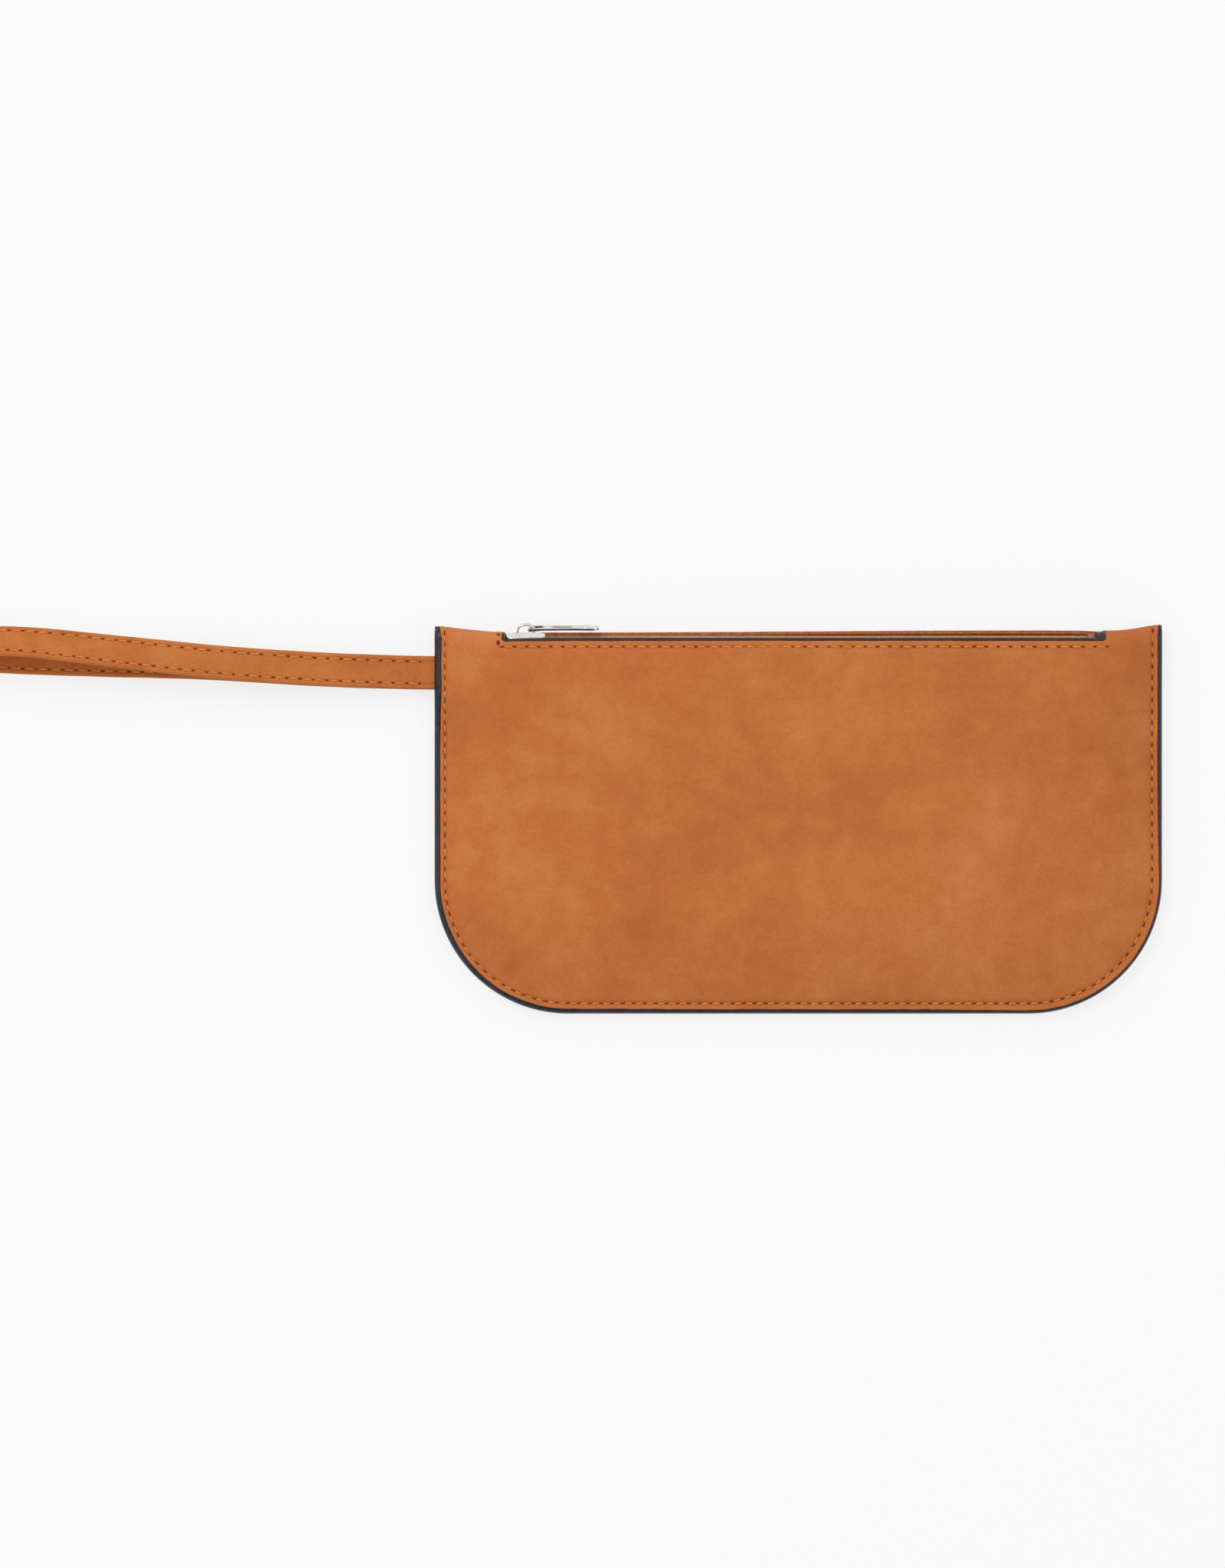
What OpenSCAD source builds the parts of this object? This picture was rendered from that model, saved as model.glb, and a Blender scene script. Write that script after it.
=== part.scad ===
// Wristlet wallet: one folded leather piece with a letterbox zip slot through the fold,
// sewn round three sides, with a wrist strap loop sewn into the left side seam.
// It lies on its back: +X along the width, +Y towards the zip, +Z out of the front face.

/* [Body] */
// Overall width
body_w = 240; // [200:1:260]
// Overall height from the bottom seam to the fold at its ends
body_h = 128; // [110:1:140]
// Radius of the two bottom corners
corner_r = 44; // [30:1:50]
// Thickness over the middle of the wallet
mid_t = 11; // [9:0.1:14]
// Thickness at the fold along the zip
fold_t = 12.9; // [12.5:0.1:13.5]
// Thickness of the sewn seam
seam_t = 3.6; // [3.6:0.1:4.5]
// Thickness of the leather
leather_t = 1.3; // [1:0.1:1.5]
// Thickness of the lining cloth
lining_t = 0.4; // [0.3:0.05:0.4]
// How far the back rises towards the seam
back_lift = 1.0; // [0.5:0.1:1.5]

/* [Zip slot] */
// Left end of the slot
slot_x0 = -96.9; // [-97:0.1:-80]
// Right end of the slot
slot_x1 = 100.7; // [80:0.1:101]
// Slot's front edge, in degrees round the fold from the front
slot_a0 = 25; // [22:1:28]
// Slot's back edge, in degrees round the fold from the front
slot_a1 = 118; // [115:1:121]
// Thickness of the paint on the slot's cut edge
slot_paint = 0.25; // [0.1:0.05:0.3]

/* [Edge paint] */
// How far the front leather stops short of the outline on the left
front_in_left = 2.1; // [0.8:0.1:2.5]
// How far the front leather stops short of the outline along the bottom
front_in_bottom = 1.1; // [0.8:0.1:2.5]
// How far the front leather stops short of the outline on the right
front_in_right = 1.3; // [0.8:0.1:2.5]
// Width of paint outside the back leather
back_in = 0.5; // [0.3:0.1:0.8]

/* [Zip] */
// Thickness of the zip tape
tape_t = 0.4; // [0.3:0.05:0.5]
// Half of the parting between the two coils
coil_part = 0.7; // [0.7:0.05:1]
// Outer edge of each coil from the parting line
coil_out = 2.9; // [2.6:0.1:3]
// Height of the coil over the tape
coil_h = 1.53; // [1.2:0.01:1.6]
// Length of the slider body
slider_l = 12.9; // [11:0.1:14]
// Width of the slider body
slider_w = 6.6; // [6:0.1:6.8]
// Length of the pull tab past its bar
tab_l = 23.1; // [18:0.1:28]
// Width of the pull tab
tab_w = 4.2; // [4:0.1:6]
// Radius of the pull tab's bar
bar_r = 0.5; // [0.4:0.05:0.6]

/* [Strap] */
// Width of the strap
strap_w = 10.8; // [9:0.1:13]
// Thickness of the strap
strap_t = 1.8; // [1.5:0.1:1.8]
// Height of the strap's centre where it enters the side seam
strap_y = 48.4; // [46:0.1:50]
// How far the loop's ends are sewn in past the seam's edge
strap_in = 11; // [8:0.5:12]
// Middle of the strap's far bend
loop_x = -263; // [-270:1:-240]
// Distance between the two limbs at the far bend
loop_gap = 13.6; // [10:0.1:18]

/* [Stitching] */
// Distance between stitches round the seam
seam_pitch = 3.63; // [3:0.01:5]
// Distance between stitches round the slot
slot_pitch = 3.9; // [3:0.01:5]
// Distance between stitches along the strap
strap_pitch = 4.4; // [3:0.01:6]
// Distance of the seam stitching from the outline
seam_in = 3.9; // [3:0.1:5]

/* [Hidden] */
hw = body_w / 2;
hh = body_h / 2;
cx = hw - corner_r;
cy = -hh + corner_r;
fold_r = fold_t / 2;
seam_r = seam_t / 2;
eps = 0.02;
tilt = (slot_a0 + slot_a1) / 2;
half_slot = (slot_a1 - slot_a0) / 2;
yc0 = hh - 0.29 * (fold_r - seam_r) - fold_r;
leather_c = [0.75, 0.44, 0.24];
paint_c = [0.12, 0.11, 0.15];
thread_c = [0.8, 0.5, 0.2];
cloth_c = [0.5, 0.33, 0.2];
metal_c = [0.75, 0.75, 0.76];

// ---- shape of the pouch ----
function clip(v) = max(0, min(1, v));
function sm(a, b, v) = let (t = clip((v - a) / (b - a))) t * t * (3 - 2 * t);
function mix(a, b, t) = a + (b - a) * t;
function sgn(v) = v < 0 ? -1 : 1;
function in_corner(x, y) = abs(x) > cx && y < cy;
function dist(x, y) = in_corner(x, y) ? corner_r - norm([abs(x) - cx, cy - y])
  : min(hw - abs(x), y + hh);
function inward(x, y) = in_corner(x, y)
  ? let (v = [abs(x) - cx, cy - y], n = max(0.001, norm(v))) [-sgn(x) * v[0] / n, v[1] / n]
  : hw - abs(x) < y + hh ? [-sgn(x), 0] : [0, 1];
function y_bottom(x) = abs(x) > cx ? cy - sqrt(max(0, corner_r * corner_r - pow(abs(x) - cx, 2))) : -hh;
function front_in(x, y) = let (side = x < 0 ? front_in_left : front_in_right)
  y >= cy ? side : abs(x) <= cx ? front_in_bottom
  : mix(front_in_bottom, side, atan2(abs(x) - cx, cy - y) / 90);
function bump(x, y) = x < 0
  ? 3.7 * sm(26, 42, y) * (1 - sm(12, 34, x + hw))
  : 1.6 * sm(36, 58, y) * (1 - sm(12, 34, hw - x));
function rise(d, far) = let (s = clip((d - 3) / (far - 3))) 1 - (1 - s) * (1 - s);
function thick(x, y) = let (b = bump(x, y))
  mix(seam_t + b, mix(mid_t, fold_t, sm(-10, 52, y)), rise(dist(x, y), 36 - 17 * sm(10, 50, y)));
function z_back(x, y) = let (s = clip((dist(x, y) - 1) / 17))
  back_lift * (1 - s) * (1 - s) * (1 - 0.16 * bump(x, y));
function z_front(x, y) = z_back(x, y) + thick(x, y);
function arc_r(x) = thick(x, 60) / 2;
function arc_y(x) = let (r = arc_r(x)) hh - 0.29 * (r - seam_r) - r;
function arc_z(x) = z_back(x, 60) + arc_r(x);
function pulled(x, y, e) = [x, y] + inward(x, y) * e * max(0, 1 - dist(x, y) / 18);

// a row is [kind, value]: kind 0 back and 2 front with the share of the way up, kind 1 the fold with its angle
function at(x, row, dep, eb, ef) =
  row[0] == 1
  ? let (r = arc_r(x) - dep, e = mix(ef < 0 ? -ef : front_in(x, 0), eb, row[1] / 180),
      px = x - sgn(x) * e * max(0, 1 - (hw - abs(x)) / 18))
    [px, arc_y(x) + r * sin(row[1]), arc_z(x) + r * cos(row[1])]
  : let (y0 = y_bottom(x), y = y0 + (arc_y(x) - y0) * row[1],
      e = row[0] == 0 ? eb : ef < 0 ? -ef : front_in(x, y), p = pulled(x, y, e))
    [p[0], p[1], row[0] == 0 ? z_back(x, y) + dep : z_front(x, y) - dep];

corner_a = [90, 85, 80, 74, 67, 60, 52, 44, 36];
function left_x() = [for (a = concat(corner_a, [asin((-slot_x0 - cx) / corner_r), 19, 9])) -cx - corner_r * sin(a)];
function right_x() = [for (a = [10, 19, 27, asin((slot_x1 - cx) / corner_r), 43, 51, 59, 67, 74, 80, 85, 90]) cx + corner_r * sin(a)];
function mid_x(n) = [for (i = [0:n]) -cx + 2 * cx * i / n];
all_x = concat(left_x(), mid_x(9), right_x());
up = [0, 0.01, 0.028, 0.055, 0.095, 0.145, 0.21, 0.29, 0.38, 0.48, 0.58, 0.68, 0.78, 0.87, 0.94];
function fold_a() = concat([180, 165, 150, 134], [for (i = [0:6]) slot_a1 - (slot_a1 - slot_a0) * i / 6], [12, 0]);
function shell_rows() = concat([for (v = up) [0, v]], [for (a = fold_a()) [1, a]],
  [for (i = [len(up) - 1:-1:0]) [2, up[i]]]);

// closed solid from an outer and an inner grid, leaving out the cells of an optional window
module grid_solid(outer, inner, w = [-1, -1, -1, -1]) {
  n = len(outer);
  m = len(outer[0]);
  pts = concat([for (r = outer) each r], [for (r = inner) each r]);
  k = n * m;
  function cut(i, j) = i >= w[0] && i < w[1] && j >= w[2] && j < w[3];
  faces = concat(
    [for (i = [0:n - 2], j = [0:m - 2]) if (!cut(i, j)) each
      [[i * m + j, i * m + j + 1, (i + 1) * m + j + 1], [i * m + j, (i + 1) * m + j + 1, (i + 1) * m + j]]],
    [for (i = [0:n - 2], j = [0:m - 2]) if (!cut(i, j)) each
      [[k + i * m + j, k + (i + 1) * m + j + 1, k + i * m + j + 1], [k + i * m + j, k + (i + 1) * m + j, k + (i + 1) * m + j + 1]]],
    [for (i = [0:n - 2]) each wall(i * m, (i + 1) * m, k)],
    [for (i = [0:n - 2]) each wall((i + 1) * m + m - 1, i * m + m - 1, k)],
    [for (j = [0:m - 2]) each wall(j + 1, j, k)],
    [for (j = [0:m - 2]) each wall((n - 1) * m + j, (n - 1) * m + j + 1, k)],
    w[0] < 0 ? [] : concat(
      [for (i = [w[0]:w[1] - 1]) each wall((i + 1) * m + w[2], i * m + w[2], k)],
      [for (i = [w[0]:w[1] - 1]) each wall(i * m + w[3], (i + 1) * m + w[3], k)],
      [for (j = [w[2]:w[3] - 1]) each wall(w[0] * m + j, w[0] * m + j + 1, k)],
      [for (j = [w[2]:w[3] - 1]) each wall(w[1] * m + j + 1, w[1] * m + j, k)]));
  polyhedron(pts, faces, convexity = 10);
}
function wall(a, b, k) = [[a, b, b + k], [a, b + k, a + k]];
function index_of(list, v) = [for (i = [0:len(list) - 1]) if (abs(list[i] - v) < 0.01) i][0];

// closed solid from a row of equal rings, each ring running the same way round
module ring_solid(rings, closed = false) {
  n = len(rings);
  m = len(rings[0]);
  pts = [for (r = rings) each r];
  last = closed ? n - 1 : n - 2;
  faces = concat(
    [for (i = [0:last], j = [0:m - 1]) let (a = i * m + j, b = i * m + (j + 1) % m,
      c = ((i + 1) % n) * m + (j + 1) % m, d = ((i + 1) % n) * m + j) each [[a, c, b], [a, d, c]]],
    closed ? [] : [for (j = [1:m - 2]) [0, j, j + 1]],
    closed ? [] : [for (j = [1:m - 2]) let (s = (n - 1) * m) [s, s + j + 1, s + j]]);
  polyhedron(pts, faces, convexity = 10);
}

// ---- leather and cloth ----
module outer_shell() {
  rows = shell_rows();
  j0 = len(up) + 4;
  color(leather_c)
  grid_solid(
    [for (r = rows) [for (x = all_x) at(x, r, 0, back_in + eps, 0)]],
    [for (r = rows) [for (x = all_x) at(x, r, leather_t, back_in + eps, 0)]],
    [j0, j0 + 6, index_of(all_x, slot_x0), index_of(all_x, slot_x1)]);
}

// the lining lies on the leather at the seam and steps in under the zip tape
function lining_dep(x, row, k) = let (y = row[0] == 1 ? 60 : y_bottom(x) + (arc_y(x) - y_bottom(x)) * row[1])
  leather_t + eps + k + (tape_t + 0.06) * sm(20, 38, y) * sm(2, 12, dist(x, y));
module lining(rows) {
  grid_solid(
    [for (r = rows) [for (x = all_x) at(x, r, lining_dep(x, r, 0), back_in + eps, 0)]],
    [for (r = rows) [for (x = all_x) at(x, r, lining_dep(x, r, lining_t), back_in + eps, 0)]]);
}
module front_lining() {
  color(cloth_c)
  lining(concat([[1, 12], [1, 0]], [for (i = [len(up) - 1:-1:0]) [2, up[i]]]));
}
module back_lining() {
  color(cloth_c)
  lining(concat([for (v = up) [0, v]], [[1, 180], [1, 165], [1, 150], [1, 134]]));
}
// slip pocket on the back lining, caught in the side and bottom seams, with an open top
module slip_pocket() {
  xs = [for (i = [0:10]) mix(-hw + 18, hw - 18, i / 10)];
  ys = [-hh + 18, -40, -24, -8, 6, 14];
  color(cloth_c)
  grid_solid(
    [for (y = ys) [for (x = xs) pocket_at(x, y, 0)]],
    [for (y = ys) [for (x = xs) pocket_at(x, y, lining_t)]]);
}
function pocket_at(x, y, k) = let (px = abs(x) > cx ? sgn(x) * mix(cx, abs(x), sqrt(clip((y + hh) / corner_r))) : x)
  [px, y, z_back(px, y) + leather_t + lining_t + 0.15 + k];

// ---- zip ----
// (w, n) across and out of the zip, in the fold's own plane
function zip_at(x, w, n) = [x, arc_y(x) + n * sin(tilt) + w * cos(tilt), arc_z(x) + n * cos(tilt) - w * sin(tilt)];
tape_n = (fold_r - leather_t - 0.04) * cos(half_slot);
module zip_frame() translate([0, arc_y(0), arc_z(0)]) rotate([-tilt, 0, 0]) children();

// one tape's section: flat beside the coil, then round the inside of the fold and a little way down it
function tape_face(x, side, k) =
  let (dep = leather_t + 0.04 + k, r = arc_r(x) - leather_t - 0.04, n = r * cos(half_slot) - k, e = back_in + eps)
  concat([zip_at(x, side * coil_part, n), zip_at(x, side * (r * sin(half_slot) - k), n)],
    [for (row = side < 0 ? [[1, 12], [1, 0], [2, up[len(up) - 1]]] : [[1, 134], [1, 150], [1, 165], [1, 180], [0, up[len(up) - 1]]]) at(x, row, dep, e, 0)]);
module zip_tape(side) {
  xs = [for (x = all_x) if (abs(x) < 107) x];
  outer = [for (x = xs) tape_face(x, side, 0)];
  inner = [for (x = xs) tape_face(x, side, tape_t)];
  if (side < 0) grid_solid(inner, outer); else grid_solid(outer, inner);
}
module front_zip_tape() color([0.6, 0.38, 0.2]) zip_tape(-1);
module back_zip_tape() color([0.6, 0.38, 0.2]) zip_tape(1);

coil_x0 = -96.2;
coil_x1 = 94.8;
module coil_bar() {
  r = coil_h / 2;
  translate([coil_x0, 0, tape_n - tape_t - eps - r]) {
    for (w = [coil_part + r, coil_out - r]) translate([0, w, 0]) rotate([0, 90, 0]) cylinder(r = r, h = coil_x1 - coil_x0, $fn = 48);
    translate([0, coil_part + r, -r]) cube([coil_x1 - coil_x0, coil_out - coil_part - coil_h, coil_h]);
  }
}
module front_coil() color(thread_c) zip_frame() mirror([0, 1, 0]) coil_bar();
module back_coil() color(thread_c) zip_frame() coil_bar();
module top_stops() color(metal_c) zip_frame()
  for (s = [-1, 1]) translate([-99.4, s < 0 ? -2.4 : 0.9, tape_n + eps]) cube([2.2, 1.5, 0.8]);
module bottom_stop() color(metal_c) zip_frame() {
  translate([95.2, -2.7, tape_n + eps]) cube([3, 5.4, 1.1]);
  translate([95.2, -0.6, tape_n - tape_t - 0.4]) cube([3, 1.2, tape_t + 0.6]);
}

// ---- slider and its pull tab ----
slider_x0 = -96.4;
plate_lo = tape_n + 0.3;
plate_t = 1;
bottom_hi = tape_n - tape_t - coil_h - 0.32;
bar_x = -88.75;
bar_n = plate_lo + plate_t + 2.25;
// the tab lies a little above its bar, clear of the leather past the slot's end
tab_lo = -0.1;
tab_hi = 0.6;
module plate(l, w, r, h) {
  translate([r, -w / 2, 0]) cube([l - 2 * r, w, h]);
  translate([0, -w / 2 + r, 0]) cube([l, w - 2 * r, h]);
  for (x = [r, l - r], y = [-w / 2 + r, w / 2 - r]) translate([x, y, 0]) cylinder(r = r, h = h, $fn = 48);
}
module slider_body() color(metal_c) zip_frame() {
  translate([slider_x0, 0, plate_lo]) plate(slider_l, slider_w, 1.6, plate_t);
  translate([slider_x0, 0, bottom_hi - 1]) plate(slider_l, 7.2, 1.4, 1);
  translate([slider_x0 + 0.8, -0.38, bottom_hi - 0.2]) cube([3, 0.76, plate_lo - bottom_hi + 0.4]);
  for (s = [-1, 1]) translate([slider_x0 + 1.6, s * (coil_out + 0.55) - 0.25, bottom_hi - 0.2])
    cube([slider_l - 3.2, 0.5, 1.3]);
}
module slider_crown() color(metal_c) zip_frame() translate([0, 0, plate_lo + plate_t]) difference() {
  union() {
    translate([-92.9, -1, 0]) cube([6.1, 2, 2.5]);
    translate([-91.4, -1, 0]) cube([3.1, 2, 4]);
    for (x = [-91.4, -88.3]) translate([x, 1, 2.5]) rotate([90, 0, 0]) cylinder(r = 1.5, h = 2, $fn = 64);
  }
  translate([-91.9, -2, -1]) cube([4, 4, 4.1]);
}
module pull_tab() color(metal_c) zip_frame() translate([bar_x, 0, bar_n]) {
  rotate([90, 0, 0]) translate([0, 0, -tab_w / 2]) cylinder(r = bar_r, h = tab_w, $fn = 64);
  for (s = [-1, 1]) translate([0, s < 0 ? -tab_w / 2 : 1.35, -bar_r]) cube([5.8, tab_w / 2 - 1.35, 2 * bar_r]);
  difference() {
    union() {
      translate([5, -tab_w / 2, tab_lo]) cube([tab_l - 5 - tab_w / 2, tab_w, tab_hi - tab_lo]);
      translate([tab_l - tab_w / 2, 0, tab_lo]) cylinder(r = tab_w / 2, h = tab_hi - tab_lo, $fn = 64);
      translate([tab_l - 4.2, 0, tab_hi - 0.1]) cylinder(r = 1.7, h = 0.5, $fn = 64);
    }
    translate([7.6, -0.75, -2]) cube([6.4, 1.5, 4]);
    for (x = [7.6, 14]) translate([x, 0, -2]) cylinder(r = 0.75, h = 4, $fn = 48);
  }
}

// ---- strap ----
strap_z = z_back(-hw, strap_y) + thick(-hw, strap_y) / 2;
hinge_x = -hw - 4.2;
knuckle = strap_t + 0.15;
// the loop swings up past the root's ends, so they stand back from its axis
root_gap = 2.6;
module strap_root() color(leather_c) difference() {
  for (k = [0, 1]) translate([hinge_x + root_gap, strap_y - strap_w / 2, strap_z + (k == 0 ? -strap_t - 0.03 : 0.03)])
    cube([4.2 - root_gap + strap_in, strap_w, strap_t]);
  translate([hinge_x, strap_y - 20, strap_z]) rotate([-90, 0, 0]) cylinder(r = root_gap + 0.1, h = 40, $fn = 96);
}

// centre line of the loop: 0 to 1 out along the upper limb, 1 to 2 round the bend, 2 to 3 back along the lower one
bend_r = loop_gap / 2;
low_z = strap_t / 2;
function out_y(u) = strap_y + 4 * u + 6.2 * pow(u, 3) + 23.5 * pow(u, 4) - 23.4 * pow(u, 5);
function back_y(u) = strap_y + 2.8 * u + 3.7 * pow(u, 2) + 34.1 * pow(u, 3) - 74 * pow(u, 4) + 38.8 * pow(u, 5);
function path(t) =
  t <= 1 ? let (u = t) [mix(hinge_x, loop_x, u), out_y(u),
      mix(strap_z + strap_t / 2 + 0.03, low_z + loop_gap, sin(90 * pow(u, 0.92)))]
  : t < 2 ? let (a = 180 * (t - 1), y = mix(out_y(1), back_y(1), (1 - cos(a)) / 2))
      [loop_x - 1.25 * bend_r * sin(a), y, low_z + bend_r + bend_r * cos(a)]
  : let (u = 3 - t) [mix(hinge_x, loop_x, u), back_y(u),
      low_z + (strap_z - strap_t / 2 - 0.03 - low_z) * pow(max(0, 1 - u / 0.42), 2)];
function roll(t) = t <= 1 ? -28 * sm(0.35, 1.1, t) : t < 2 ? mix(-26.6, 0, sm(1, 2, t)) : 0;
function unit(v) = v / norm(v);
// the four corners of the strap's section at t, grown by g across and h in thickness
function section(t, w, lo, hi) = let (
    d = unit(path(min(3, t + 0.01)) - path(max(0, t - 0.01))),
    across = unit([0, cos(roll(t)), sin(roll(t))] - d * (d * [0, cos(roll(t)), sin(roll(t))])),
    n = cross(d, across), p = path(t))
  [p - across * w / 2 + n * lo, p + across * w / 2 + n * lo, p + across * w / 2 + n * hi, p - across * w / 2 + n * hi];
function strap_t_at() = concat([for (i = [0:18]) i / 18], [for (i = [1:13]) 1 + i / 14], [for (i = [0:18]) 2 + i / 18]);
module wrist_strap() color(leather_c) {
  ring_solid([for (t = strap_t_at()) section(t, strap_w, -strap_t / 2, strap_t / 2)]);
  translate([hinge_x, strap_y - strap_w / 2, strap_z]) rotate([-90, 0, 0]) cylinder(r = knuckle, h = strap_w, $fn = 96);
}

// ---- edge paint ----
// a station is [x, y, fold angle or -1, side] on the outline
function side_y(x) = [for (v = concat(up, [1])) mix(cy, arc_y(x), v)];
function end_angles(front) = let (s = (slot_a1 - slot_a0) / 6)
  front ? concat([89], [for (i = [2:6]) slot_a1 - s * i], [12]) : [91, slot_a1 - s, slot_a1, 134, 150, 165];
function stations(front) = let (l = side_y(-hw), r = side_y(hw), n = len(l) - 1, a = end_angles(front), m = len(a) - 1) concat(
  [for (v = a) [-hw, 0, v]],
  [for (i = [n:-1:0]) [-hw, l[i], -1]],
  [for (x = all_x) if (abs(x) < hw - 0.01) [x, y_bottom(x), -1]],
  [for (i = [0:n]) [hw, r[i], -1]],
  [for (i = [m:-1:0]) [hw, 0, a[i]]]);
function edge_at(s, e, dep, front) = s[2] < 0
  ? let (n = inward(s[0] * 0.99999, s[1] + 0.0005))
    [s[0] + n[0] * e, s[1] + n[1] * e, front ? z_front(s[0], s[1]) - dep : z_back(s[0], s[1]) + dep]
  : let (r = arc_r(s[0]) - dep)
    [s[0] - sgn(s[0]) * e, arc_y(s[0]) + r * sin(s[2]), arc_z(s[0]) + r * cos(s[2])];
function stack_dep() = leather_t + lining_t + 2 * eps;
module front_edge_paint() color(paint_c) ring_solid([for (s = stations(true))
  let (e = s[2] < 0 ? front_in(s[0], s[1]) : mix(front_in(s[0], 0), back_in, s[2] / 180) , q = min(1.2, stack_dep() - 0.3))
  [edge_at(s, e - eps, 0.02, true), edge_at(s, e - 0.45, 0.14, true), edge_at(s, 0.28, 0.85, true),
    edge_at(s, 0.08, stack_dep(), true), edge_at(s, e - eps, stack_dep(), true)]]);
module back_edge_paint() color(paint_c) ring_solid([for (s = stations(false))
  [edge_at(s, back_in - eps, stack_dep(), false), edge_at(s, 0.08, stack_dep(), false), edge_at(s, 0, 0.8, false),
    edge_at(s, 0.16, 0.2, false), edge_at(s, back_in - eps, 0.02, false)]]);
module slot_edge_paint() {
  ro = fold_r - 0.02;
  ri = fold_r - leather_t;
  dx = slot_paint;
  function q(x, a, r) = [x, arc_y(x) + r * sin(a), arc_z(x) + r * cos(a)];
  da = slot_paint / ro * 57.3;
  g = 0.2;
  fr = [for (x = concat([slot_x0 + eps], [for (i = [0:6]) mix(-90, 94, i / 6)], [slot_x1 - eps]))
    [q(x, slot_a0 + g, ro), q(x, slot_a0 + g, ri), q(x, slot_a0 + da, ri), q(x, slot_a0 + da, ro)]];
  bk = [for (x = concat([slot_x0 + eps], [for (i = [0:6]) mix(-90, 94, i / 6)], [slot_x1 - eps]))
    [q(x, slot_a1 - da, ro), q(x, slot_a1 - da, ri), q(x, slot_a1 - g, ri), q(x, slot_a1 - g, ro)]];
  color(paint_c) {
    ring_solid(fr);
    ring_solid(bk);
    for (e = [[slot_x0 + eps, slot_x0 + dx], [slot_x1 - dx, slot_x1 - eps]])
      ring_solid([for (i = [0:12]) let (a = mix(slot_a0 + g, slot_a1 - g, i / 12))
        [q(e[0], a, ri), q(e[0], a, ro), q(e[1], a, ro), q(e[1], a, ri)]]);
  }
}

// ---- stitching ----
// one stitch lies along d on a surface with normal n, and reads as a low rounded bar
module stitches(list, l, w, h) {
  pts = [for (s = list) let (p = s[0], d = unit(s[1]), n = unit(s[2]), c = cross(n, d))
    each [for (q = [[-1, -1, 0], [1, -1, 0], [1, 1, 0], [-1, 1, 0], [-0.7, -0.6, 1], [0.7, -0.6, 1], [0.7, 0.6, 1], [-0.7, 0.6, 1]])
      p + d * q[0] * l / 2 + c * q[1] * w / 2 + n * (q[2] * h - 0.08)]];
  faces = [for (i = [0:len(list) - 1]) let (b = i * 8) each [for (f = [[0, 1, 2, 3], [7, 6, 5, 4], [0, 4, 5, 1], [1, 5, 6, 2], [2, 6, 7, 3], [3, 7, 4, 0]])
    [for (v = f) b + v]]];
  polyhedron(pts, faces, convexity = 10);
}
// points spaced round the seam, inset from the outline: down the left, round the bottom, up the right
function seam_len(e) = let (r = corner_r - e) [57 - cy, r * PI / 2, 2 * cx];
function seam_point(s, e) = let (l = seam_len(e), r = corner_r - e, total = 2 * l[0] + 2 * l[1] + l[2], f = s > total / 2, q = f ? total - s : s,
    p = q < l[0] ? [-hw + e, 57 - q, 0, -1]
      : q < l[0] + l[1] ? let (a = (q - l[0]) / r * 57.2958) [-cx - r * cos(a), cy - r * sin(a), sin(a), -cos(a)]
      : [-cx + q - l[0] - l[1], -hh + e, 1, 0])
  f ? [-p[0], p[1], p[2], -p[3]] : p;
function seam_marks(front) = let (l = seam_len(seam_in), total = 2 * l[0] + 2 * l[1] + l[2], n = floor(total / seam_pitch))
  [for (i = [0:n]) let (p = seam_point(total * i / n, seam_in))
    [[p[0], p[1], front ? z_front(p[0], p[1]) : z_back(p[0], p[1])], [p[2], p[3], 0],
      front ? face_n(p[0], p[1], true) : face_n(p[0], p[1], false)]];
function face_n(x, y, front) = let (h = 0.5,
    zx = front ? (z_front(x + h, y) - z_front(x - h, y)) / 2 / h : (z_back(x + h, y) - z_back(x - h, y)) / 2 / h,
    zy = front ? (z_front(x, y + h) - z_front(x, y - h)) / 2 / h : (z_back(x, y + h) - z_back(x, y - h)) / 2 / h)
  front ? unit([-zx, -zy, 1]) : unit([zx, zy, -1]);
module front_seam_stitching() color(thread_c) stitches(seam_marks(true), 2.6, 0.6, 0.34);
module back_seam_stitching() color(thread_c) stitches(seam_marks(false), 2.6, 0.6, 0.3);
function slot_marks() = let (n = floor((slot_x1 - slot_x0 - 2) / slot_pitch), a0 = slot_a0 - 19, a1 = slot_a1 + 19)
  concat([for (a = [a0, a1], i = [0:n]) let (x = mix(slot_x0 + 1, slot_x1 - 1, i / n), r = arc_r(x))
      [[x, arc_y(x) + r * sin(a), arc_z(x) + r * cos(a)], [1, 0, 0], [0, sin(a), cos(a)]]],
    [for (x = [slot_x0 - 1.8, slot_x1 + 1.8], i = [0:2]) let (a = mix(slot_a0 + 6, slot_a1 - 6, i / 2), r = arc_r(x))
      [[x, arc_y(x) + r * sin(a), arc_z(x) + r * cos(a)], [0, cos(a), -sin(a)], [0, sin(a), cos(a)]]]);
module slot_stitching() color(thread_c) stitches(slot_marks(), 2.8, 0.6, 0.34);
function strap_marks() = let (n = floor(2 * 141 / strap_pitch))
  [for (i = [1:n - 1], s = [-1, 1]) let (t = i / n < 0.5 ? 2 * i / n * 1 : 0, u = i / n,
      tt = u < 0.47 ? u / 0.47 : u < 0.53 ? 1 + (u - 0.47) / 0.06 : 2 + (u - 0.53) / 0.47,
      c = section(tt, strap_w - 3.6, strap_t / 2, strap_t / 2), p = s < 0 ? c[0] : c[1],
      d = path(min(3, tt + 0.01)) - path(max(0, tt - 0.01)))
    [p, d, cross(d, c[1] - c[0])]];
module strap_stitching() color(thread_c) stitches(strap_marks(), 3, 0.6, 0.3);

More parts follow.
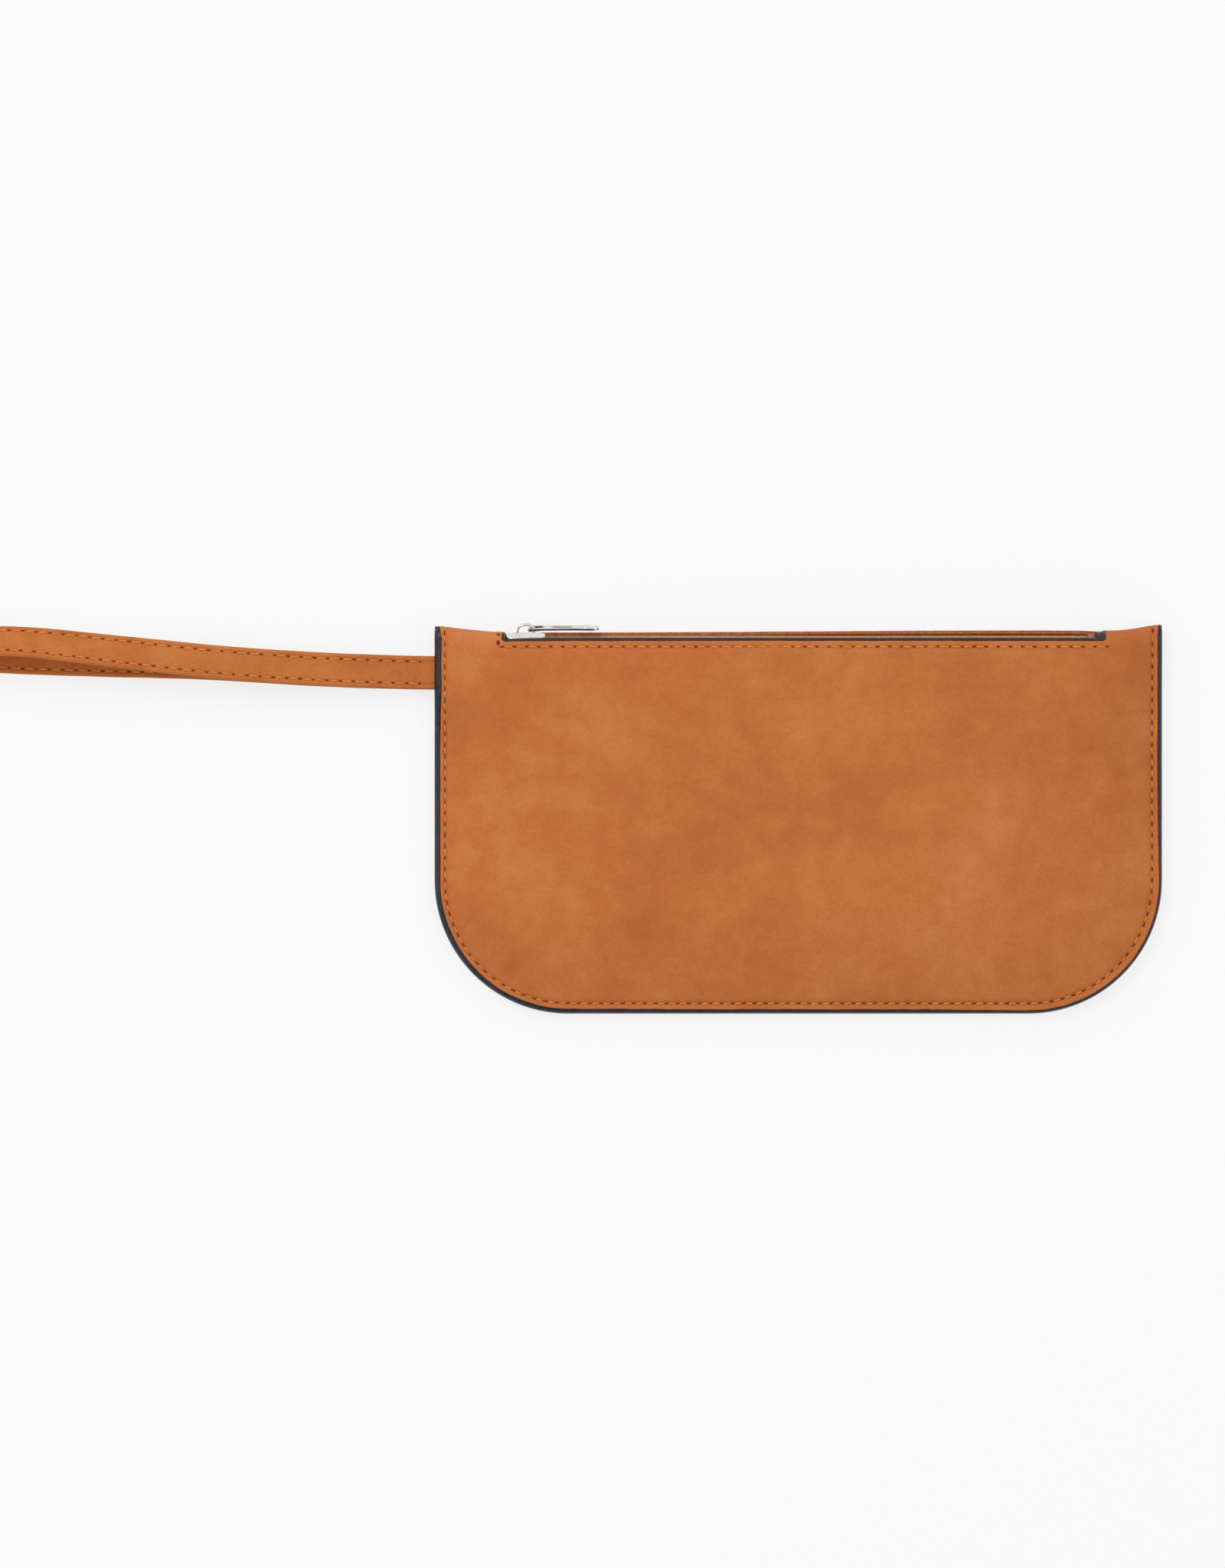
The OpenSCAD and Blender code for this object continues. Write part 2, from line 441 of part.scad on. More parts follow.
outer_shell();
front_lining();
back_lining();
slip_pocket();
front_zip_tape();
back_zip_tape();
front_coil();
back_coil();
top_stops();
bottom_stop();
slider_body();
slider_crown();
pull_tab();
strap_root();
wrist_strap();
front_edge_paint();
back_edge_paint();
slot_edge_paint();
front_seam_stitching();
back_seam_stitching();
slot_stitching();
strap_stitching();
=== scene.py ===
import math

import bpy
import numpy as np
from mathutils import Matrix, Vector


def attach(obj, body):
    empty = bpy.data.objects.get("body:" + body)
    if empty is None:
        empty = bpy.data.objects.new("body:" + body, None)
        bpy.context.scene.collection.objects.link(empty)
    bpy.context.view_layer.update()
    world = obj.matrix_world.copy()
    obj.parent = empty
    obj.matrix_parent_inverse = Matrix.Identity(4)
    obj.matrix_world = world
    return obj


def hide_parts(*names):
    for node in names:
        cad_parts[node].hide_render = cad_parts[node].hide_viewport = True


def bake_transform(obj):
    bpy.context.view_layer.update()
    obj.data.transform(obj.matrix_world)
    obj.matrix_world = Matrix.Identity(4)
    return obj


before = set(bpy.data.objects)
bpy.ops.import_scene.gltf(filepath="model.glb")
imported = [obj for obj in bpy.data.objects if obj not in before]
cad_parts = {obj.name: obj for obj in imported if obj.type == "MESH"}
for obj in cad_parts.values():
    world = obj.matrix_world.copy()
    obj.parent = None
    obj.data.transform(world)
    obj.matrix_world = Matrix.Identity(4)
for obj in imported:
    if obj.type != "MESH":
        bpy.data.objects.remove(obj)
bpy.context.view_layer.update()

rng = np.random.default_rng(11)

# ------------------------------------------------------------------ sizes, in millimetres, as in the CAD
HW, HH, R, CX, CY = 120.0, 64.0, 44.0, 76.0, -20.0
SEAM, LEATHER, LINING, MID, FOLD, LIFT = 3.6, 1.3, 0.4, 11.0, 12.9, 1.0
S0, S1, A0, A1 = -96.9, 100.7, 25.0, 118.0
TILT, HALF = (A0 + A1) / 2, (A1 - A0) / 2
IN_L, IN_B, IN_R, IN_BACK = 2.1, 1.1, 1.3, 0.5
TAPE = 0.4
RAD = math.pi / 180


def clip(v):
    return np.clip(v, 0.0, 1.0)


def sm(a, b, v):
    t = clip((np.asarray(v, float) - a) / (b - a))
    return t * t * (3 - 2 * t)


def mix(a, b, t):
    return a + (b - a) * t


def dist(x, y):
    x, y = np.asarray(x, float), np.asarray(y, float)
    corner = (np.abs(x) > CX) & (y < CY)
    return np.where(corner, R - np.hypot(np.abs(x) - CX, CY - y), np.minimum(HW - np.abs(x), y + HH))


def bump_gap(x, y):
    x, y = np.asarray(x, float), np.asarray(y, float)
    left = 3.7 * sm(26, 42, y) * (1 - sm(12, 34, x + HW))
    right = 1.6 * sm(36, 58, y) * (1 - sm(12, 34, HW - x))
    return np.where(x < 0, left, right)


def thick(x, y):
    b = bump_gap(x, y)
    far = 36 - 17 * sm(10, 50, y)
    s = clip((dist(x, y) - 3) / (far - 3))
    g = 1 - (1 - s) ** 2
    full = mix(MID, FOLD, sm(-10, 52, y))
    return (SEAM + b) + (full - SEAM - b) * g


def z_back(x, y):
    s = clip((dist(x, y) - 1) / 17)
    return LIFT * (1 - s) ** 2 * (1 - 0.16 * bump_gap(x, y))


def z_front(x, y):
    return z_back(x, y) + thick(x, y)


def arc_r(x):
    return thick(x, 60.0 + 0 * np.asarray(x, float)) / 2


def arc_y(x):
    r = arc_r(x)
    return HH - 0.29 * (r - SEAM / 2) - r


def arc_z(x):
    return z_back(x, 60.0 + 0 * np.asarray(x, float)) + arc_r(x)


ARC_Y, ARC_Z, FOLD_R = float(arc_y(0.0)), float(arc_z(0.0)), FOLD / 2


def sag(x):
    """The fold drops a little beside the slot's ends and stands up at the seams."""
    x = np.asarray(x, float)
    return (-0.75 * np.exp(-(((x + 98) / 8) ** 2)) + 0.3 * sm(-110, -120, x)
            - 0.35 * np.exp(-(((x - 102) / 8) ** 2)) + 0.5 * sm(107, 120, x)
            + 0.32 * sm(-70, 70, x) * (1 - sm(94, 106, x)))


def fold_pt(x, phi, r, ref=None, lean=1.0):
    """A point of the fold at radius r: the front is at 0 degrees, the top of the fold at 90 and the back at 180."""
    x, phi, r = np.broadcast_arrays(np.asarray(x, float), np.asarray(phi, float), np.asarray(r, float))
    k = x if ref is None else np.broadcast_to(np.asarray(ref, float), x.shape)
    a = (phi + lean * mix(2.0, -5.0, sm(-70, 70, k)) * sm(60, 112, phi) * (1 - sm(140, 178, phi))) * RAD
    return np.stack([x, arc_y(k) + r * np.sin(a) + sag(k) * np.sin(a) ** 2, arc_z(k) + r * np.cos(a)], -1)


def pull(d, e):
    """Inset of a point at inset d once the leather's edge stops e short of the outline."""
    return d + e * np.maximum(0, 1 - np.asarray(d, float) / 3.6)


def pull_x(x, e):
    return x - np.sign(x) * e * np.maximum(0, 1 - (HW - np.abs(x)) / 3.6)

NDIR = np.array([0, math.sin(TILT * RAD), math.cos(TILT * RAD)])
WDIR = np.array([0, math.cos(TILT * RAD), -math.sin(TILT * RAD)])
TAPE_N = (FOLD_R - LEATHER - 0.04) * math.cos(HALF * RAD)


def zip_pt(x, w, n):
    """A point on the zip, from its place along, across and out of it."""
    x, w, n = np.broadcast_arrays(np.asarray(x, float), np.asarray(w, float), np.asarray(n, float))
    p = np.zeros(x.shape + (3,))
    p[..., 0] = x
    p[..., 1] = ARC_Y
    p[..., 2] = ARC_Z
    return p + w[..., None] * WDIR + n[..., None] * NDIR


# smooth, repeatable noise for shapes
_lat = np.random.default_rng(5).random((64, 64, 8)) * 2 - 1


def wobble(x, y, size, seed=0):
    """Smooth value noise from -1 to 1 with features about size across."""
    x, y = np.asarray(x, float) / size + 17.3 * (seed + 1), np.asarray(y, float) / size + 9.1 * (seed + 1)
    xi, yi = np.floor(x).astype(int), np.floor(y).astype(int)
    fx, fy = x - xi, y - yi
    fx, fy = fx * fx * (3 - 2 * fx), fy * fy * (3 - 2 * fy)
    t = _lat[:, :, seed % 8]
    g = lambda i, j: t[i % 64, j % 64]
    return (g(xi, yi) * (1 - fx) + g(xi + 1, yi) * fx) * (1 - fy) + (g(xi, yi + 1) * (1 - fx) + g(xi + 1, yi + 1) * fx) * fy


# ------------------------------------------------------------------ making objects
def make(name, verts, faces, smooth=True, mats=(), mat_index=None, attrs=None, rest=True):
    """A mesh object from points in millimetres."""
    v = np.asarray(verts, float) * 0.001
    me = bpy.data.meshes.new(name)
    me.from_pydata(v.tolist(), [], [tuple(int(i) for i in f) for f in faces])
    me.validate()
    ob = bpy.data.objects.new(name, me)
    bpy.context.scene.collection.objects.link(ob)
    for m in mats:
        me.materials.append(m)
    if mat_index is not None:
        me.polygons.foreach_set("material_index", np.asarray(mat_index, np.int32))
    me.polygons.foreach_set("use_smooth", np.full(len(me.polygons), smooth))
    if rest:
        a = me.attributes.new("rest", "FLOAT_VECTOR", "POINT")
        a.data.foreach_set("vector", v.astype(np.float32).ravel())
    for k, val in (attrs or {}).items():
        a = me.attributes.new(k, "FLOAT", "POINT")
        a.data.foreach_set("value", np.asarray(val, np.float32))
    me.update()
    return ob


def outward(ob):
    """Turns a closed mesh's faces outwards."""
    import bmesh
    bm = bmesh.new()
    bm.from_mesh(ob.data)
    bmesh.ops.recalc_face_normals(bm, faces=bm.faces)
    bm.to_mesh(ob.data)
    bm.free()
    return ob


def rings(sections, closed=False, caps=True):
    """Points and faces of a tube through equal rings."""
    s = np.asarray(sections, float)
    n, m = s.shape[:2]
    faces = []
    for i in range(n if closed else n - 1):
        a, b = i * m, ((i + 1) % n) * m
        for j in range(m):
            k = (j + 1) % m
            faces.append((a + j, a + k, b + k, b + j))
    if caps and not closed:
        faces.append(tuple(range(m - 1, -1, -1)))
        faces.append(tuple(range((n - 1) * m, n * m)))
    return s.reshape(-1, 3), faces


class Heap:
    """Collects many small meshes into one."""

    def __init__(self):
        self.v, self.f, self.n = [], [], 0

    def add(self, v, f):
        self.v.append(np.asarray(v, float))
        self.f.extend([tuple(i + self.n for i in q) for q in f])
        self.n += len(v)

    def verts(self):
        return np.concatenate(self.v)


def unit(v):
    v = np.asarray(v, float)
    return v / np.maximum(np.linalg.norm(v, axis=-1, keepdims=True), 1e-12)


def tube(path, radius, sides=8, up=(0, 0, 1), flat=1.0, twist=0.0, ply=0.0, closed=False):
    """A tube round a line of points. ply swells it into two strands that turn by twist radians a point."""
    p = np.asarray(path, float)
    n = len(p)
    if closed:
        t = unit(np.roll(p, -1, 0) - np.roll(p, 1, 0))
    else:
        t = unit(np.gradient(p, axis=0))
    u = np.broadcast_to(np.asarray(up, float), p.shape)
    side = unit(np.cross(t, u))
    top = np.cross(side, t)
    a = np.linspace(0, 2 * np.pi, sides, endpoint=False)
    r = np.broadcast_to(np.asarray(radius, float), (n,))[:, None]
    ph = np.arange(n)[:, None] * twist
    r = r * (1 + ply * (np.abs(np.cos(a[None] - ph)) - 0.6))
    s = p[:, None] + side[:, None] * (np.cos(a)[None] * r)[..., None] + top[:, None] * (np.sin(a)[None] * r * flat)[..., None]
    return rings(s, closed)


# ------------------------------------------------------------------ materials
def lin(r, g, b):
    f = lambda c: c / 12.92 if c <= 0.04045 else ((c + 0.055) / 1.055) ** 2.4
    return tuple(f(c / 255.0) for c in (r, g, b)) + (1.0,)


class Mat:
    def __init__(self, name):
        self.m = bpy.data.materials.new(name)
        self.m.use_nodes = True
        self.t = self.m.node_tree
        self.b = next(n for n in self.t.nodes if n.type == "BSDF_PRINCIPLED")
        self.co = None

    def node(self, kind, **kw):
        n = self.t.nodes.new(kind)
        for k, v in kw.items():
            setattr(n, k, v)
        return n

    def link(self, a, b):
        self.t.links.new(a, b)

    def coords(self):
        if self.co is None:
            self.co = self.node("ShaderNodeAttribute", attribute_name="rest").outputs["Vector"]
        return self.co

    def noise(self, scale, detail=3.0, rough=0.55, distortion=0.0, stretch=None):
        n = self.node("ShaderNodeTexNoise")
        n.inputs["Scale"].default_value = scale
        n.inputs["Detail"].default_value = detail
        n.inputs["Roughness"].default_value = rough
        n.inputs["Distortion"].default_value = distortion
        src = self.coords()
        if stretch:
            mp = self.node("ShaderNodeMapping")
            mp.inputs["Scale"].default_value = stretch
            self.link(src, mp.inputs["Vector"])
            src = mp.outputs["Vector"]
        self.link(src, n.inputs["Vector"])
        return n.outputs["Fac"]

    def ramp(self, fac, stops):
        r = self.node("ShaderNodeValToRGB")
        e = r.color_ramp.elements
        while len(e) > 1:
            e.remove(e[-1])
        e[0].position, e[0].color = stops[0]
        for p, c in stops[1:]:
            x = e.new(p)
            x.color = c
        self.link(fac, r.inputs["Fac"])
        return r.outputs["Color"]

    def blend(self, fac, a, b, mode="MIX"):
        n = self.node("ShaderNodeMix", data_type="RGBA", blend_type=mode)
        for sock, v in ((n.inputs[0], fac), (n.inputs[6], a), (n.inputs[7], b)):
            if hasattr(v, "links"):
                self.link(v, sock)
            elif isinstance(v, (int, float)) and sock.type != "VALUE":
                sock.default_value = (v, v, v, 1)
            else:
                sock.default_value = v
        return n.outputs[2]

    def math(self, op, a, b=0.0, clamp=False):
        n = self.node("ShaderNodeMath", operation=op, use_clamp=clamp)
        for sock, v in zip(n.inputs, (a, b)):
            if hasattr(v, "links"):
                self.link(v, sock)
            else:
                sock.default_value = v
        return n.outputs[0]

    def attr(self, name):
        return self.node("ShaderNodeAttribute", attribute_name=name).outputs["Fac"]

    def bump(self, height, strength, distance, under=None):
        n = self.node("ShaderNodeBump")
        n.inputs["Strength"].default_value = strength
        n.inputs["Distance"].default_value = distance
        self.link(height, n.inputs["Height"])
        if under is not None:
            self.link(under, n.inputs["Normal"])
        return n.outputs["Normal"]

    def set(self, **kw):
        for k, v in kw.items():
            self.b.inputs[k.replace("_", " ")].default_value = v
        return self


def leather_mat(name, light, mean, dark, cloud=1.0, groove=True, painted_light_top_left=False):
    m = Mat(name)
    big = m.noise(26, 3, 0.6)
    mid = m.noise(120, 4, 0.62, 0.4)
    fine = m.noise(900, 3, 0.6)
    nap = m.noise(3800, 2, 0.6)
    f = m.math("ADD", m.math("MULTIPLY", big, 0.45), m.math("MULTIPLY", mid, 0.33))
    f = m.math("ADD", f, m.math("MULTIPLY", fine, 0.22))
    c = m.ramp(f, [(0.5 - 0.16 / cloud, dark), (0.5, mean), (0.5 + 0.16 / cloud, light)])
    # short dark flecks and rubbed pale streaks of the nap
    fleck = m.ramp(m.noise(2400, 2, 0.7), [(0.30, (0.80, 0.76, 0.72, 1)), (0.46, (1, 1, 1, 1)), (0.66, (1, 1, 1, 1)), (0.8, (1.07, 1.07, 1.06, 1))])
    c = m.blend(0.55, c, fleck, "MULTIPLY")
    # painted highlight: the leather's colour is lifted paler and less saturated towards the left and the top, where
    # the key light falls
    if painted_light_top_left:
        sep = m.node("ShaderNodeSeparateXYZ")
        m.link(m.coords(), sep.inputs[0])
        lift = m.math("MULTIPLY", m.math("ADD", m.math("MULTIPLY", sep.outputs[0], -1.9), m.math("MULTIPLY", sep.outputs[1], 0.8)), 1.0)
        lift = m.math("ADD", lift, 0.30, True)
        c = m.blend(m.math("MULTIPLY", lift, 0.40), c, m.blend(1.0, c, (1.28, 1.34, 1.42, 1), "MULTIPLY"))
    if groove:
        g = m.attr("groove")
        # darker along the stitch groove; where the groove's value passes one, the deeper darkening is painted shade at
        # the needle holes
        c = m.blend(m.math("MULTIPLY", m.math("MINIMUM", g, 1.0), 0.5), c, m.blend(1.0, c, (0.74, 0.62, 0.48, 1), "MULTIPLY"))
        c = m.blend(m.math("MULTIPLY", m.math("SUBTRACT", g, 1.0), 0.5, True), c, m.blend(1.0, c, (0.34, 0.22, 0.12, 1), "MULTIPLY"))
    m.link(c, m.b.inputs["Base Color"])
    rough = m.math("ADD", m.math("MULTIPLY", mid, 0.2), 0.66)
    m.link(rough, m.b.inputs["Roughness"])
    n = m.bump(m.noise(260, 4, 0.6), 0.25, 0.0004)
    n = m.bump(fine, 0.28, 0.00022, n)
    n = m.bump(nap, 0.32, 0.00009, n)
    m.link(n, m.b.inputs["Normal"])
    m.set(Specular_IOR_Level=0.2, Sheen_Weight=0.07, Sheen_Roughness=0.5, Sheen_Tint=(1.0, 0.86, 0.72, 1))
    return m.m


LEATHER_L, LEATHER_M, LEATHER_D = lin(187, 114, 61), lin(177, 100, 47), lin(165, 87, 37)
# the front leather carries a painted highlight towards the top left
M_LEATHER = leather_mat("nubuck_leather", LEATHER_L, LEATHER_M, LEATHER_D, painted_light_top_left=True)
M_STRAP = leather_mat("strap_leather", lin(190, 116, 58), lin(179, 102, 46), lin(162, 84, 34))


def flesh_mat():
    m = Mat("leather_flesh_side")
    c = m.ramp(m.noise(700, 4, 0.7), [(0.35, lin(120, 74, 42)), (0.65, lin(165, 112, 70))])
    m.link(c, m.b.inputs["Base Color"])
    m.link(m.bump(m.noise(2600, 3, 0.7), 0.6, 0.0002), m.b.inputs["Normal"])
    m.set(Roughness=0.95, Specular_IOR_Level=0.15)
    return m.m


def paint_mat():
    m = Mat("edge_paint")
    c = m.ramp(m.noise(75, 3, 0.6), [(0.40, lin(27, 34, 44)), (0.50, lin(36, 31, 38)), (0.60, lin(54, 32, 36))])
    c = m.blend(1.0, c, m.ramp(m.noise(420, 3, 0.6), [(0.35, (0.66, 0.66, 0.68, 1)), (0.65, (1.28, 1.26, 1.24, 1))]), "MULTIPLY")
    wear = m.ramp(m.noise(1500, 3, 0.7), [(0.70, (0, 0, 0, 1)), (0.82, (1, 1, 1, 1))])
    c = m.blend(m.math("MULTIPLY", wear, 0.3), c, lin(70, 40, 30))
    c = m.blend(m.attr("worn"), c, m.ramp(m.noise(700, 3, 0.6), [(0.35, lin(132, 70, 32)), (0.65, lin(168, 94, 46))]))
    m.link(c, m.b.inputs["Base Color"])
    m.link(m.math("ADD", m.math("MULTIPLY", m.noise(600, 3), 0.28), 0.22), m.b.inputs["Roughness"])
    n = m.bump(m.noise(380, 3, 0.6), 0.35, 0.00035)
    m.link(m.bump(m.noise(2200, 2, 0.6), 0.25, 0.0001, n), m.b.inputs["Normal"])
    m.set(Specular_IOR_Level=0.3)
    return m.m


def thread_mat():
    m = Mat("waxed_thread")
    c = m.ramp(m.noise(1400, 3, 0.6), [(0.3, lin(184, 96, 24)), (0.55, lin(204, 120, 34)), (0.75, lin(216, 136, 50))])
    m.link(c, m.b.inputs["Base Color"])
    m.link(m.bump(m.noise(5200, 2, 0.6, 0, (1, 1, 1)), 0.5, 0.00008), m.b.inputs["Normal"])
    m.set(Roughness=0.5, Specular_IOR_Level=0.45, Sheen_Weight=0.2, Sheen_Roughness=0.4)
    return m.m


def hole_shade_mat():
    # the hole's dark brown is painted shade inside the needle hole
    m = Mat("stitch_hole")
    c = m.ramp(m.noise(1800, 2), [(0.3, lin(94, 38, 10)), (0.7, lin(132, 60, 20))])
    m.link(c, m.b.inputs["Base Color"])
    m.link(m.bump(m.noise(4000, 2), 0.4, 0.0001), m.b.inputs["Normal"])
    m.set(Roughness=0.9, Specular_IOR_Level=0.1)
    return m.m


def weave_mat(name, dark, light, per_mm, twill=True, rough=0.85):
    m = Mat(name)
    # warp and weft as two crossed waves on the cloth's own coordinates
    uv = m.node("ShaderNodeAttribute", attribute_name="rest").outputs["Vector"]
    mp = m.node("ShaderNodeMapping")
    mp.inputs["Rotation"].default_value = (0, 0, 0.78 if twill else 0.0)
    m.link(uv, mp.inputs["Vector"])
    w1 = m.node("ShaderNodeTexWave", wave_type="BANDS", bands_direction="X")
    w2 = m.node("ShaderNodeTexWave", wave_type="BANDS", bands_direction="Y")
    for w in (w1, w2):
        w.inputs["Scale"].default_value = per_mm * 1000 / 6.2832 * 1.57
        w.inputs["Distortion"].default_value = 0.6
        w.inputs["Detail"].default_value = 1.5
        w.inputs["Detail Scale"].default_value = 1.0
        m.link(mp.outputs["Vector"], w.inputs["Vector"])
    h = m.math("MULTIPLY", w1.outputs["Fac"], w2.outputs["Fac"]) if not twill else m.math("MAXIMUM", m.math("MULTIPLY", w1.outputs["Fac"], 0.9), m.math("MULTIPLY", w2.outputs["Fac"], 0.6))
    f = m.math("ADD", m.math("MULTIPLY", h, 0.6), m.math("MULTIPLY", m.noise(500, 3), 0.4))
    m.link(m.ramp(f, [(0.2, dark), (0.75, light)]), m.b.inputs["Base Color"])
    m.link(m.bump(h, 0.6, 0.00015), m.b.inputs["Normal"])
    m.set(Roughness=rough, Specular_IOR_Level=0.2, Sheen_Weight=0.25, Sheen_Roughness=0.5)
    return m.m


def coil_mat():
    m = Mat("nylon_coil")
    c = m.ramp(m.noise(380, 2), [(0.3, lin(168, 104, 52)), (0.7, lin(196, 132, 76))])
    m.link(c, m.b.inputs["Base Color"])
    m.link(m.bump(m.noise(3000, 2), 0.15, 0.00005), m.b.inputs["Normal"])
    m.set(Roughness=0.34, Specular_IOR_Level=0.5, Coat_Weight=0.15, Coat_Roughness=0.2)
    return m.m


def plain_mat(name, dark, light, rough):
    m = Mat(name)
    m.link(m.ramp(m.noise(420, 3), [(0.3, dark), (0.7, light)]), m.b.inputs["Base Color"])
    m.link(m.bump(m.noise(2600, 2), 0.2, 0.00006), m.b.inputs["Normal"])
    m.set(Roughness=rough, Specular_IOR_Level=0.35)
    return m.m


def sewing_mat():
    m = Mat("zip_sewing_thread")
    c = m.ramp(m.noise(900, 3), [(0.3, lin(184, 128, 84)), (0.7, lin(214, 162, 116))])
    m.link(c, m.b.inputs["Base Color"])
    m.link(m.bump(m.noise(4200, 2), 0.4, 0.00006), m.b.inputs["Normal"])
    m.set(Roughness=0.55, Specular_IOR_Level=0.4)
    return m.m


def metal_mat():
    m = Mat("polished_nickel")
    c = m.ramp(m.noise(240, 3), [(0.3, (0.66, 0.65, 0.63, 1)), (0.7, (0.82, 0.80, 0.77, 1))])
    m.link(c, m.b.inputs["Base Color"])
    scr = m.noise(2600, 2, 0.5, 0, (0.08, 1, 1))
    m.link(m.math("ADD", m.math("MULTIPLY", scr, 0.16), 0.13), m.b.inputs["Roughness"])
    m.link(m.bump(scr, 0.12, 0.00004), m.b.inputs["Normal"])
    m.set(Metallic=1.0, Coat_Weight=0.1, Coat_Roughness=0.1)
    return m.m


M_FLESH, M_PAINT, M_THREAD, M_HOLE_SHADE = flesh_mat(), paint_mat(), thread_mat(), hole_shade_mat()
M_TAPE = weave_mat("zip_tape_twill", lin(122, 68, 32), lin(170, 104, 58), 1.9)
M_LINING = weave_mat("lining_cloth", lin(92, 62, 40), lin(142, 100, 66), 1.3, twill=False)
M_COIL, M_METAL = coil_mat(), metal_mat()
M_SEWING = sewing_mat()
M_STOP = plain_mat("moulded_stop", lin(118, 68, 34), lin(146, 88, 48), 0.45)

# ------------------------------------------------------------------ outline stations
# Five stretches: left side, left corner, bottom, right corner, right side. A stitch is four stations long.
ST_SIDE, ST_CORNER, ST_BOTTOM = 21, 17, 42
SEAM_IN = 3.3
N_SIDE, N_CORNER, N_BOTTOM = 88, 68, 168
NU = 2 * N_SIDE + 2 * N_CORNER + N_BOTTOM
SIDE_TOP = CY + ST_SIDE * 3.70  # the topmost needle hole below the fold's end


def outline(j, d):
    """(x, y) at station j (may be fractional) and inset d from the outline."""
    j, d = np.broadcast_arrays(np.asarray(j, float), np.asarray(d, float))
    right = j > NU / 2
    q = np.where(right, NU - j, j)
    # side: the first four stations run from the fold down to the topmost stitch
    xs = -HW + d
    top = arc_y(xs)
    full = float(arc_y(-HW + 3.9))
    y_line = np.where(q < 4, mix(full, SIDE_TOP, q / 4), mix(SIDE_TOP, CY, (q - 4) / (N_SIDE - 4)))
    ys = CY + (top - CY) * (y_line - CY) / (full - CY)
    a = (q - N_SIDE) / N_CORNER * 90 * RAD
    xc, yc = -CX - (R - d) * np.cos(a), CY - (R - d) * np.sin(a)
    xb, yb = -CX + (q - N_SIDE - N_CORNER) / N_BOTTOM * 2 * CX, -HH + d
    x = np.where(q <= N_SIDE, xs, np.where(q <= N_SIDE + N_CORNER, xc, xb))
    y = np.where(q <= N_SIDE, ys, np.where(q <= N_SIDE + N_CORNER, yc, yb))
    return np.where(right, -x, x), y


def front_in(j):
    """How far the front leather stops short of the outline at station j."""
    j = np.asarray(j, float)
    b1, b2 = N_SIDE + N_CORNER, N_SIDE + N_CORNER + N_BOTTOM
    l = mix(IN_L, 1.6, sm(18, 40, j))
    l = mix(l, 1.35, sm(N_SIDE + 10, N_SIDE + 45, j))
    l = mix(l, IN_B, sm(b1 - 10, b1 + 60, j))
    r = mix(IN_B, 0.75, sm(b2 - 50, b2, j))
    r = mix(r, IN_R, sm(b2 + N_CORNER - 10, b2 + N_CORNER + 40, j))
    return np.where(j < NU / 2, l, r)


# ------------------------------------------------------------------ the leather's surface
def relief(x, y, d, j, side):
    """Height of the leather's own relief, outwards: soft undulation, the groove of the stitching and its pull."""
    h = 0.16 * wobble(x, y, 34, 1 + side) * sm(6, 24, d) + 0.05 * wobble(x, y, 9, 3 + side) * sm(2, 10, d)
    pull = 0.5 - 0.5 * np.cos(j * np.pi / 2)  # 0 at the holes, 1 in the middle of a stitch
    h = h - (0.26 - 0.08 * pull) * np.exp(-(((d - SEAM_IN) / 0.62) ** 2))
    h = h + 0.07 * np.exp(-(((d - SEAM_IN - 1.5) / 0.8) ** 2)) + 0.05 * np.exp(-(((d - 2.2) / 0.8) ** 2)) * (d > 0.5)
    return h


D_BAND = [0, 0.25, 0.6, 1.1, 1.65, 2.1, 2.4, 2.65, 2.85, 3.0, 3.15, 3.3, 3.45, 3.6, 3.8, 4.05, 4.4, 4.85, 5.5, 6.4, 7.5, 9.0, 10.5, 12, 13.6, 15.4, 17.2, 18.4, HW - S1, 20.4, 21.8, HW + S0, 24.4, 27, 30]
KB = len(D_BAND)
FINE = 4  # the middle's cells are this many stations wide
M_COLS = N_BOTTOM // FINE
M_ROWS = (N_SIDE + N_CORNER) // FINE
FOLD_A = [0, 1.6, 3.0, 4.2, 5.1, 6.0, 6.9, 7.8, 9.0, 11, 13.5, 16, 18.5, 21, 23, 24.3, A0] + [A0 + (A1 - A0) * i / 14 for i in range(1, 14)] + [
    A1, 118.7, 120, 122.3, 125, 128, 131, 133.6, 135.2, 136.1, 137, 137.9, 138.8, 140.2, 143, 148, 155, 163, 172, 180]
ROW0, ROW1 = FOLD_A.index(A0), FOLD_A.index(A1)
STITCH_A = (6.0, 137.0)
END_R = 1.1  # rounding of the slot's ends


def end_shift(x, phi):
    """Moves the columns near a slot end inwards at the slot's corners, so that its ends are round."""
    arc = np.minimum(phi - A0, A1 - phi) * RAD * FOLD_R
    inside = END_R - np.sqrt(np.maximum(0, END_R**2 - np.maximum(0, END_R - np.maximum(arc, 0)) ** 2))
    amount = np.where(arc >= 0, inside, END_R * np.maximum(0, 1 + arc / 2.5))
    out = np.asarray(x, float).copy()
    for edge, sign in ((S0, 1.0), (S1, -1.0)):
        out += sign * amount * (1 - sm(0, 7.5, np.abs(x - edge)))
    return out


